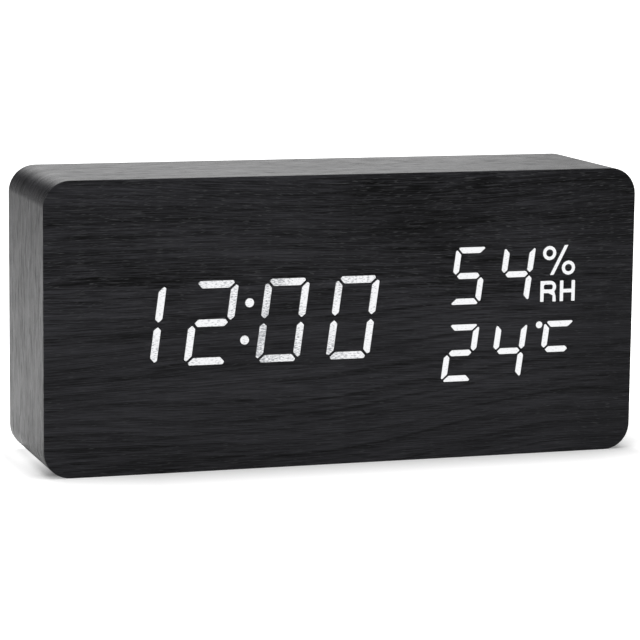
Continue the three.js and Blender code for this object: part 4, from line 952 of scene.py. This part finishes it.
def lit_piece(node, display, finish):
    """A light guide whose tips are round as far back as the middle of the light mask.

    Its lit faces keep clear of the edges of their windows.
    """
    piece = shaped_from(node, node.replace("light_guide", "lit"))
    with editing(piece):
        pick(piece, "EDGE", lambda edge: is_lit_tip(edge, display.tip))
        bpy.ops.mesh.merge(type="COLLAPSE")
        bpy.ops.mesh.select_all(action="SELECT")
        bpy.ops.mesh.bisect(plane_co=centre_of("light_mask"), plane_no=DEEP)
    round_edges(piece, display.tip, 4, is_lit_corner)
    light = finish.dots if node.endswith("colon") else finish.lit
    for material in (finish.guide, finish.front, light):
        piece.data.materials.append(material)
    for face in piece.data.polygons:
        faces_front = face.normal.y < -0.99 and at_front(face.center)
        face.material_index = FILM if faces_front else GUIDE
    with editing(piece):
        pick(piece, "FACE", lambda face: face.normal.y < -0.99 and at_front(face.calc_center_median()))
        bpy.ops.mesh.inset(thickness=display.rim)
        piece.active_material_index = LIGHT
        bpy.ops.object.material_slot_assign()
    smooth(piece)
    return piece


class CLOCK_OT_display(bpy.types.Operator):
    """Lights the display and finishes what stands behind it"""

    bl_idname = "clock.display"
    bl_label = "Display"

    def execute(self, context):
        finish = finishes()
        for node in GUIDES:
            piece = lit_piece(node, context.scene.clock_display, finish)
            dress(piece, "root", [], [node])
        paint("light_mask", finish.mask)
        paint("display_board", finish.board)
        paint("clock_chip", finish.component)
        paint("quartz_crystal", finish.steel)
        return {"FINISHED"}


# Rear cover and battery door
class CLOCK_OT_rear_cover(bpy.types.Operator):
    """Moulds the rear cover with its battery tray"""

    bl_idname = "clock.rear_cover"
    bl_label = "Rear cover"

    def execute(self, context):
        cover = context.scene.clock_cover
        piece = rounded_from("rear_cover", "rear_cover_moulding", cover.edge, 2)
        smooth(piece)
        dress(piece, "root", [finishes().cover], ["rear_cover"])
        return {"FINISHED"}


def grip_ribs(cover):
    """Ribs for a finger, below the top edge of the battery door."""
    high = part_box("battery_door")[1]
    ribs = []
    for i in range(cover.ribs):
        top = high.z - cover.rib_start - i * cover.rib_pitch
        rib = block(
            "grip_rib",
            Vector((-cover.rib_length / 2, high.y - cover.rib_height, top - cover.rib_width)),
            Vector((cover.rib_length / 2, high.y + cover.rib_height, top)),
        )
        round_edges(rib, cover.rib_edge, 3, rims(DEEP))
        ribs.append(rib)
    return ribs


class CLOCK_OT_battery_door(bpy.types.Operator):
    """Moulds the battery door with its grip ribs"""

    bl_idname = "clock.battery_door"
    bl_label = "Battery door"

    def execute(self, context):
        cover = context.scene.clock_cover
        piece = rounded_from("battery_door", "battery_door_moulding", cover.edge, 2)
        combine(piece, grip_ribs(cover))
        smooth(piece)
        dress(piece, body_of("battery_door"), [finishes().cover], ["battery_door"])
        return {"FINISHED"}


# Buttons
def button_cap(node, controls):
    """A long round cap on a flange, with a dished face."""
    low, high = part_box(node)
    centre = centre_of(node)
    half_height = (high.z - low.z) / 2
    stretch = (high.x - low.x) / 2 - half_height
    lip_back = low.y + controls.lip_thickness
    piece = bar(
        node + "_cap",
        half_height,
        Vector((centre.x, low.y, centre.z)),
        Vector((centre.x, lip_back, centre.z)),
        sides=64,
    )
    with editing(piece):
        for side in (-1, 1):
            pick(piece, "VERT", lambda corner: (corner.co.x - centre.x) * side > 1e-6)
            bpy.ops.transform.translate(value=(side * stretch, 0, 0))
        pick(piece, "FACE", lambda face: face.normal.y > 0.9)
        bpy.ops.mesh.inset(thickness=controls.lip)
        extrude((0, high.y - lip_back, 0))
        bpy.ops.mesh.inset(thickness=controls.rim + controls.dish_inset)
        extrude((0, -controls.dish_depth, 0))
        pick(piece, "EDGE", lambda edge: is_rim(edge, DEEP) and middle_of(edge).y > high.y - 1e-6)
        bpy.ops.mesh.bevel(offset=controls.dish_round, segments=4, affect="EDGES")
    smooth(piece)
    return piece


def button_mark(node, controls, name):
    """The sign on a button: a ring to set, a triangle to go up or down."""
    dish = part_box(node)[1].y - controls.dish_depth
    middle = centre_of(node)
    foot = Vector((middle.x, dish - controls.mark_height, middle.z))
    top = Vector((middle.x, dish + controls.mark_height, middle.z))
    radius = controls.mark_size / 2
    if name == "set":
        piece = bar(node + "_mark", radius, foot, top, sides=40)
        hole = bar("mark_hole", controls.mark_bore / 2, foot - DEEP * MM, top + DEEP * MM, sides=40)
        combine(piece, [hole], "DIFFERENCE")
    else:
        piece = bar(node + "_mark", radius, foot, top, sides=3)
        corners = [corner.co - foot for corner in piece.data.vertices]
        tip = max(corners, key=lambda corner: abs(corner.z))
        flip = (tip.z > 0) != (name == "up")
        piece.data.transform(Matrix.Translation(-foot))
        piece.data.transform(Matrix.Rotation(math.pi if flip else 0, 4, "Y"))
        piece.data.transform(Matrix.Translation(foot))
        round_edges(piece, controls.mark_edge, 3, lines_along(DEEP))
    smooth(piece)
    return piece


class CLOCK_OT_buttons(bpy.types.Operator):
    """Makes the three push buttons with their signs, and their switches"""

    bl_idname = "clock.buttons"
    bl_label = "Buttons"

    def execute(self, context):
        controls = context.scene.clock_controls
        finish = finishes()
        for name in BUTTONS:
            node = "button_" + name
            body = body_of(node)
            dress(button_cap(node, controls), body, [finish.button], [node])
            dress(button_mark(node, controls, name), body, [finish.paint])
            paint("switch_body_" + name, finish.component)
            paint("switch_plunger_" + name, finish.component)
        return {"FINISHED"}


# Screws
def screw_piece(screws, name, node, way):
    """A pan-head screw with a cross recess. Way is the sign in Y of its head."""
    low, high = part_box(node)
    middle = centre_of(node)
    point, top = (low.y, high.y) if way > 0 else (high.y, low.y)

    def spot(y):
        return Vector((middle.x, y, middle.z))

    piece = bar(name, (high.x - low.x) / 2, spot(top - way * screws.head), spot(top))
    round_edges(piece, screws.head_round, 4, rims(DEEP * way))
    shank = bar("shank", screws.shank / 2, spot(point), spot(top - way * screws.head / 2), sides=24)
    with editing(shank):
        pick(shank, "FACE", lambda face: face.normal.y * way < -0.9)
        bpy.ops.transform.resize(value=(screws.point, 1, screws.point))
    combine(piece, [shank])
    long, wide = screws.slot_length / 2, screws.slot_width / 2
    slots = []
    for x, z in ((long, wide), (wide, long)):
        floor = spot(top - way * screws.slot_depth) - Vector((x, 0, z))
        slots.append(block("cross", floor, spot(top + way * MM) + Vector((x, 0, z))))
    combine(piece, slots, "DIFFERENCE")
    smooth(piece)
    return piece


class CLOCK_OT_screws(bpy.types.Operator):
    """Makes the cross-head screws of the cover and the boards"""

    bl_idname = "clock.screws"
    bl_label = "Screws"

    def execute(self, context):
        for kind, count, way in SCREWS:
            first = f"{kind}_1"
            model = screw_piece(context.scene.clock_screws, first + "_piece", first, way)
            for i in range(count):
                node = f"{kind}_{i + 1}"
                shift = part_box(node)[0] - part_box(first)[0]
                piece = copy_of(model, f"{node}_turned", Matrix.Translation(shift))
                dress(piece, "root", [finishes().screw], [node])
            bpy.data.objects.remove(model)
        return {"FINISHED"}


# Battery cells
def cell_piece(power, half_length):
    """A cell along X at the origin, its nub to the right: sleeve, band and steel ends."""
    shoulder = half_length - power.nub_length
    piece = bar("cell", power.cell_radius, ACROSS * -half_length, ACROSS * shoulder, sides=64)
    flat_radius = power.cell_radius - power.cell_edge
    slack = 0.05 * MM

    def at_nub(edge):
        return is_rim(edge, ACROSS) and middle_of(edge).x > shoulder + power.nub_length / 2

    with editing(piece):
        pick(piece, "EDGE", lambda edge: is_rim(edge, ACROSS) or is_rim(edge, -ACROSS))
        bpy.ops.mesh.bevel(offset=power.cell_edge, segments=4, affect="EDGES")
        pick(piece, "FACE", lambda face: face.normal.x > 0.99)
        bpy.ops.mesh.inset(thickness=power.seal)
        extrude((-power.seal_depth, 0, 0))
        bpy.ops.mesh.inset(thickness=flat_radius - power.seal - power.nub_radius)
        extrude((power.nub_length + power.seal_depth, 0, 0))
        pick(piece, "EDGE", at_nub)
        bpy.ops.mesh.bevel(offset=power.nub_edge, segments=4, affect="EDGES")
        pick(piece, "FACE", lambda face: face.normal.x < -0.99)
        bpy.ops.mesh.inset(thickness=power.base_rim)
        extrude((power.base_dip, 0, 0))
        bpy.ops.mesh.select_all(action="SELECT")
        bpy.ops.mesh.bisect(plane_co=(shoulder - power.band_length, 0, 0), plane_no=(1, 0, 0))
    for face in piece.data.polygons:
        reach = math.hypot(face.center.y, face.center.z)
        if reach < flat_radius - 2 * slack or face.center.x > shoulder - slack:
            face.material_index = STEEL
        elif face.center.x > shoulder - power.band_length:
            face.material_index = BAND
        else:
            face.material_index = SLEEVE
    smooth(piece)
    return piece


class CLOCK_OT_battery_cells(bpy.types.Operator):
    """Makes the three cells, turned end for end from row to row"""

    bl_idname = "clock.battery_cells"
    bl_label = "Battery cells"

    def execute(self, context):
        finish = finishes()
        low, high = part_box("battery_cell_1")
        model = cell_piece(context.scene.clock_power, (high.x - low.x) / 2)
        for i in range(3):
            node = f"battery_cell_{i + 1}"
            turn = Matrix.Rotation(math.pi * (i % 2), 4, "Z")
            piece = copy_of(model, f"{node}_sleeved", Matrix.Translation(centre_of(node)) @ turn)
            dress(piece, "root", [finish.sleeve, finish.band, finish.steel], [node])
        bpy.data.objects.remove(model)
        return {"FINISHED"}


# Battery contacts
def spring_piece(power, base, way):
    """A tapered coil of wire from a contact's sheet towards a cell. Way is the sign in X of its run."""
    per_turn = 40
    count = round(power.turns * per_turn)
    curve = bpy.data.curves.new("spring", "CURVE")
    curve.dimensions = "3D"
    curve.bevel_depth = power.wire / 2
    curve.bevel_resolution = 3
    curve.use_fill_caps = True
    line = curve.splines.new("POLY")
    line.points.add(count)
    run = power.spring_length - power.wire
    for i, point in enumerate(line.points):
        share = i / count
        radius = (power.spring_base + (power.spring_tip - power.spring_base) * share) / 2
        turn = 2 * math.pi * power.turns * share
        along = way * (power.wire / 2 + run * share)
        offset = Vector((along, radius * math.cos(turn), radius * math.sin(turn)))
        point.co = (*(base + offset), 1)
    piece = bpy.data.objects.new("spring", curve)
    bpy.context.scene.collection.objects.link(piece)
    alone(piece)
    bpy.ops.object.convert(target="MESH")
    return piece


def dimple_piece(power, base, way):
    """A pressed dimple on a contact's sheet."""
    start = base - ACROSS * way * power.sheet / 2
    piece = bar("dimple", power.dimple_base / 2, start, base + ACROSS * way * power.dimple, sides=40)
    share = power.dimple_top / power.dimple_base
    with editing(piece):
        pick(piece, "FACE", lambda face: face.normal.x * way > 0.9)
        bpy.ops.transform.resize(value=(1, share, share))
        pick(piece, "EDGE", lambda edge: abs(middle_of(edge).x - base.x - way * power.dimple) < 1e-6)
        bpy.ops.mesh.bevel(offset=power.dimple_edge, segments=3, affect="EDGES")
    return piece


def contact_piece(power, node, springs, dimples, tailed):
    """A contact at one end of the bay, with its springs and dimples at the given cells."""
    low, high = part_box(node)
    cells = {i: centre_of(f"battery_cell_{i}") for i in (1, 2, 3)}
    rows = [cells[i].z for i in (*springs, *dimples)]
    depth = cells[1].y
    side = 1 if low.x + high.x > 0 else -1
    inner, outer = (low.x, high.x) if side > 0 else (high.x, low.x)
    face = inner + side * (power.spring_length if springs else power.dimple)
    back = face + side * power.sheet
    half = Vector((0, power.sheet_length, power.sheet_width)) / 2
    sheet = block(
        node + "_sheet",
        Vector((face, depth, min(rows))) - half,
        Vector((back, depth, max(rows))) + half,
    )
    round_edges(sheet, power.sheet_corner, 5, lines_along(ACROSS))
    parts = [spring_piece(power, Vector((face, depth, cells[i].z)), -side) for i in springs]
    parts += [dimple_piece(power, Vector((face, depth, cells[i].z)), -side) for i in dimples]
    if tailed:
        bottom, top = rows[0] - power.tail_width / 2, rows[0] + power.tail_width / 2
        start = Vector((face, low.y, bottom))
        sheet_edge = depth - half.y + power.sheet
        parts.append(block("tail", start, Vector((outer, low.y + power.sheet, top))))
        parts.append(block("tail_root", start, Vector((back, sheet_edge, top))))
    join(sheet, parts)
    smooth(sheet)
    return sheet


class CLOCK_OT_battery_contacts(bpy.types.Operator):
    """Makes the contacts of the battery bay with their springs and dimples"""

    bl_idname = "clock.battery_contacts"
    bl_label = "Battery contacts"

    def execute(self, context):
        power = context.scene.clock_power
        finish = finishes()
        for node, springs, dimples, tailed in (
            ("contact_positive", (), (3,), True),
            ("contact_link_left", (3,), (2,), False),
            ("contact_link_right", (2,), (1,), False),
            ("contact_negative", (1,), (), True),
        ):
            piece = contact_piece(power, node, springs, dimples, tailed)
            piece.data.materials.clear()
            dress(piece, "root", [finish.steel], [node])
        return {"FINISHED"}


# Power socket
def socket_pins(controls):
    """Gold contacts under the socket's tongue."""
    low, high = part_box("usb_tongue")
    under = centre_of("usb_shell").z - controls.tongue / 2
    half_width = controls.pin_width / 2
    pins = []
    for i in range(controls.pins):
        x = centre_of("usb_tongue").x + (i - (controls.pins - 1) / 2) * controls.pin_pitch
        pin = block(
            "socket_pin",
            Vector((x - half_width, low.y + controls.pin_start, under - controls.pin_height)),
            Vector((x + half_width, high.y - controls.pin_end, under + controls.pin_root)),
        )
        round_edges(pin, controls.pin_edge, 2, rims(-UP))
        pins.append(pin)
    join(pins[0], pins[1:])
    smooth(pins[0])
    pins[0].name = "socket_pins"
    return pins[0]


class CLOCK_OT_power_socket(bpy.types.Operator):
    """Finishes the power socket with its shell, tongue and pins"""

    bl_idname = "clock.power_socket"
    bl_label = "Power socket"

    def execute(self, context):
        controls = context.scene.clock_controls
        finish = finishes()

        def is_outer_corner(edge):
            return runs_along(edge, DEEP) and edge.is_convex

        shell = rounded_from("usb_shell", "socket_shell", controls.shell_edge, 2)
        round_edges(shell, controls.shell_corner, 3, is_outer_corner)
        smooth(shell)
        dress(shell, "root", [finish.steel], ["usb_shell"])
        tongue = rounded_from("usb_tongue", "socket_tongue", controls.tongue_edge, 2)
        smooth(tongue)
        dress(tongue, "root", [finish.component], ["usb_tongue"])
        dress(socket_pins(controls), "root", [finish.gold])
        return {"FINISHED"}


# Control board
class CLOCK_OT_control_board(bpy.types.Operator):
    """Finishes the control board, the buzzer and the sensor"""

    bl_idname = "clock.control_board"
    bl_label = "Control board"

    def execute(self, context):
        finish = finishes()
        paint("control_board", finish.board)
        for node, slot, material in (
            ("buzzer", "component_plastic", finish.component),
            ("humidity_sensor", "sensor_plastic", finish.sensor),
        ):
            edge = context.scene.clock_controls.case_edge
            piece = rounded_from(node, node + "_case", edge, 2)
            smooth(piece)
            dress(piece, "root", [material], [node])
        return {"FINISHED"}


# Wiring
class CLOCK_OT_wiring(bpy.types.Operator):
    """Rounds the leads and the ribbon cable"""

    bl_idname = "clock.wiring"
    bl_label = "Wiring"

    def execute(self, context):
        finish = finishes()
        for node, slot, material in (
            ("lead_positive", "red_wire", finish.red),
            ("lead_negative", "black_wire", finish.black),
            ("ribbon_cable", "grey_ribbon", finish.grey),
        ):
            piece = shaped_from(node, node + "_insulation")
            apply_modifier(piece, "SUBSURF", levels=2, render_levels=2)
            smooth(piece, 60)
            dress(piece, "root", [material], [node])
        return {"FINISHED"}


# Stage
def camera_at(stage):
    """The camera at the photograph's view."""
    across = math.cos(stage.elevation)
    back = Vector(
        (
            math.sin(stage.azimuth) * across,
            -math.cos(stage.azimuth) * across,
            math.sin(stage.elevation),
        )
    )
    right = (-back).cross(UP).normalized()
    up = right.cross(-back)
    leaning_right = right * math.cos(stage.roll) + up * math.sin(stage.roll)
    leaning_up = up * math.cos(stage.roll) - right * math.sin(stage.roll)
    aim = Vector((stage.aim_x, 0, stage.aim_z))
    bpy.ops.object.camera_add()
    camera = bpy.context.object
    turn = Matrix((leaning_right, leaning_up, back)).transposed().to_4x4()
    camera.matrix_world = Matrix.Translation(aim + back * stage.distance) @ turn
    camera.data.lens = stage.lens
    camera.data.sensor_width = stage.sensor
    bpy.context.scene.camera = camera


def painted_floor_light(graph, place):
    """Painted light that the camera sees on the floor over its matt shade: little by the clock, which
    paints a shadow round it, more away from it.
    """
    axes = graph.axes(place)
    x, y = axes["X"], axes["Y"]
    left_end = -70.5 * MM
    past_left = graph.between(x, -78 * MM, -178 * MM, 0, 0.3)
    past_right = graph.between(x, 75 * MM, 175 * MM)
    past_right = graph.times(past_right, graph.between(y, -24 * MM, -12 * MM, 0.6, 0.17))
    past_sides = graph.plus(past_left, past_right)
    past_front = graph.larger(graph.minus(graph.math("ABSOLUTE", y), CASE_HIGH.y), 0.0)
    away = graph.size(graph.node("CombineXYZ", {"X": past_sides, "Y": past_front}).outputs[0])
    open_floor = graph.between(away, 0, 20 * MM, 0, 0.44)
    open_floor = graph.plus(open_floor, graph.between(away, 20 * MM, 50 * MM, 0, 0.34))
    # Painted shadow close to the clock: a weak glow in front of it, and beside and under its round lower
    # corners
    before = graph.between(x, -50 * MM, left_end, 0.22, 0.4)
    before = graph.plus(before, graph.between(x, 60 * MM, 85 * MM, 0, 0.1))
    corner = graph.between(y, -15 * MM, 6 * MM, 0.05, 0.9)
    corner = graph.plus(corner, graph.between(y, -14 * MM, -18 * MM, 0, 0.35))
    beside = graph.blend(graph.between(x, left_end, -78 * MM), corner, 0.6)
    close = graph.blend(graph.math("LESS_THAN", x, left_end), before, beside)
    return graph.plus(close, open_floor)


def pale_floor(stage):
    """A wide floor that keeps the clock's soft shadow, partly real and partly painted by a weaker glow
    near the clock, and turns white away from it.
    """
    bpy.ops.object.select_all(action="DESELECT")
    bpy.ops.mesh.primitive_plane_add(size=8)
    floor = bpy.context.object
    floor.name = "floor"
    material = bpy.data.materials.new("pale floor")
    material.use_nodes = True
    material.node_tree.nodes.clear()
    graph = Graph(material.node_tree)
    place = graph.place()
    clouds = graph.times(graph.noise(place, 3.0, 2.0), 0.1)
    tint = graph.mix(clouds, opaque(stage.floor), (0.8, 0.8, 0.8, 1))
    matt = graph.node("BsdfDiffuse", {"Color": tint}).outputs[0]
    mirrored = graph.between(graph.size(place), 90 * MM, 420 * MM, 0.1, 0.0)
    path = graph.node("LightPath").outputs
    direct = graph.larger(path["Is Camera Ray"], path["Is Transmission Ray"])
    glow = graph.times(direct, painted_floor_light(graph, place))
    glow = graph.plus(glow, graph.times(path["Is Glossy Ray"], mirrored))
    light = graph.node("Emission", {"Strength": glow}).outputs[0]
    both = graph.node("AddShader", {0: matt, 1: light}).outputs[0]
    graph.feed(graph.node("OutputMaterial").inputs["Surface"], both)
    floor.data.materials.append(material)


def soft_surround():
    """A soft sky that the camera sees as white, and a white wall behind the clock for its gloss."""
    world = bpy.data.worlds.new("studio")
    bpy.context.scene.world = world
    world.use_nodes = True
    world.node_tree.nodes.clear()
    graph = Graph(world.node_tree)
    direction = graph.axes(graph.node("TexCoord").outputs["Generated"])
    haze = graph.between(direction["Z"], 0.0, 0.16, 0.28, 0.07)
    sky = graph.plus(haze, graph.between(direction["Z"], 0.6, 0.95, 0.0, 0.6))
    wall = graph.between(direction["X"], -0.14, 0.1, 0.0, 1.0, "SMOOTHSTEP")
    wall = graph.times(wall, graph.between(direction["X"], 0.35, 0.45, 1.0, 0.5))
    wall = graph.times(wall, graph.between(direction["Z"], 0.25, 0.6, 1.0, 0.0))
    wall = graph.times(wall, graph.between(direction["Z"], 0.0, 0.15, 0.3, 1.0))
    path = graph.node("LightPath").outputs
    white = graph.larger(path["Is Camera Ray"], path["Is Transmission Ray"])
    white = graph.larger(white, graph.times(path["Is Glossy Ray"], wall))
    light = graph.node("Background", {"Strength": graph.larger(sky, white)}).outputs[0]
    graph.feed(graph.node("OutputWorld").inputs["Surface"], light)


def soft_lamp(stage):
    """A wide lamp over the clock."""
    place = Vector((stage.lamp_side, 0, stage.lamp_height))
    bpy.ops.object.light_add(type="AREA", location=place)
    lamp = bpy.context.object
    lamp.name = "overhead_lamp"
    lamp.data.size = stage.lamp_size
    lamp.data.energy = stage.lamp_power
    lamp.rotation_euler = (-place).to_track_quat("-Z", "Y").to_euler()


class CLOCK_OT_stage(bpy.types.Operator):
    """Sets the camera, the pale floor and the soft light"""

    bl_idname = "clock.stage"
    bl_label = "Stage"

    def execute(self, context):
        stage = context.scene.clock_stage
        context.scene.view_settings.view_transform = "Standard"
        camera_at(stage)
        pale_floor(stage)
        soft_surround()
        soft_lamp(stage)
        return {"FINISHED"}


# Registration
SETTINGS = {
    "clock_film": ClockFilm,
    "clock_display": ClockDisplay,
    "clock_cover": ClockCover,
    "clock_controls": ClockControls,
    "clock_screws": ClockScrews,
    "clock_power": ClockPower,
    "clock_stage": ClockStage,
}
OPERATORS = (
    CLOCK_OT_stage,
    CLOCK_OT_films,
    CLOCK_OT_display,
    CLOCK_OT_rear_cover,
    CLOCK_OT_battery_door,
    CLOCK_OT_buttons,
    CLOCK_OT_screws,
    CLOCK_OT_battery_cells,
    CLOCK_OT_battery_contacts,
    CLOCK_OT_power_socket,
    CLOCK_OT_control_board,
    CLOCK_OT_wiring,
)


class CLOCK_PT_pieces(bpy.types.Panel):
    """Lists the clock's settings and its pieces"""

    bl_idname = "CLOCK_PT_pieces"
    bl_label = "Desk clock"
    bl_space_type = "VIEW_3D"
    bl_region_type = "UI"
    bl_category = "Clock"

    def draw(self, context):
        for operator in OPERATORS:
            self.layout.operator(operator.bl_idname)
        for name, group in SETTINGS.items():
            box = self.layout.box()
            settings = getattr(context.scene, name)
            for key in group.__annotations__:
                box.prop(settings, key)


CLASSES = (*SETTINGS.values(), *OPERATORS, CLOCK_PT_pieces)


def register():
    for made in CLASSES:
        bpy.utils.register_class(made)
    for name, group in SETTINGS.items():
        setattr(bpy.types.Scene, name, PointerProperty(type=group))


def unregister():
    for name in SETTINGS:
        delattr(bpy.types.Scene, name)
    for made in reversed(CLASSES):
        bpy.utils.unregister_class(made)


def main():
    register()
    bpy.ops.clock.stage()
    bpy.ops.clock.films()
    bpy.ops.clock.display()
    bpy.ops.clock.rear_cover()
    bpy.ops.clock.battery_door()
    bpy.ops.clock.buttons()
    bpy.ops.clock.screws()
    bpy.ops.clock.battery_cells()
    bpy.ops.clock.battery_contacts()
    bpy.ops.clock.power_socket()
    bpy.ops.clock.control_board()
    bpy.ops.clock.wiring()


if __name__ == "__main__":
    main()
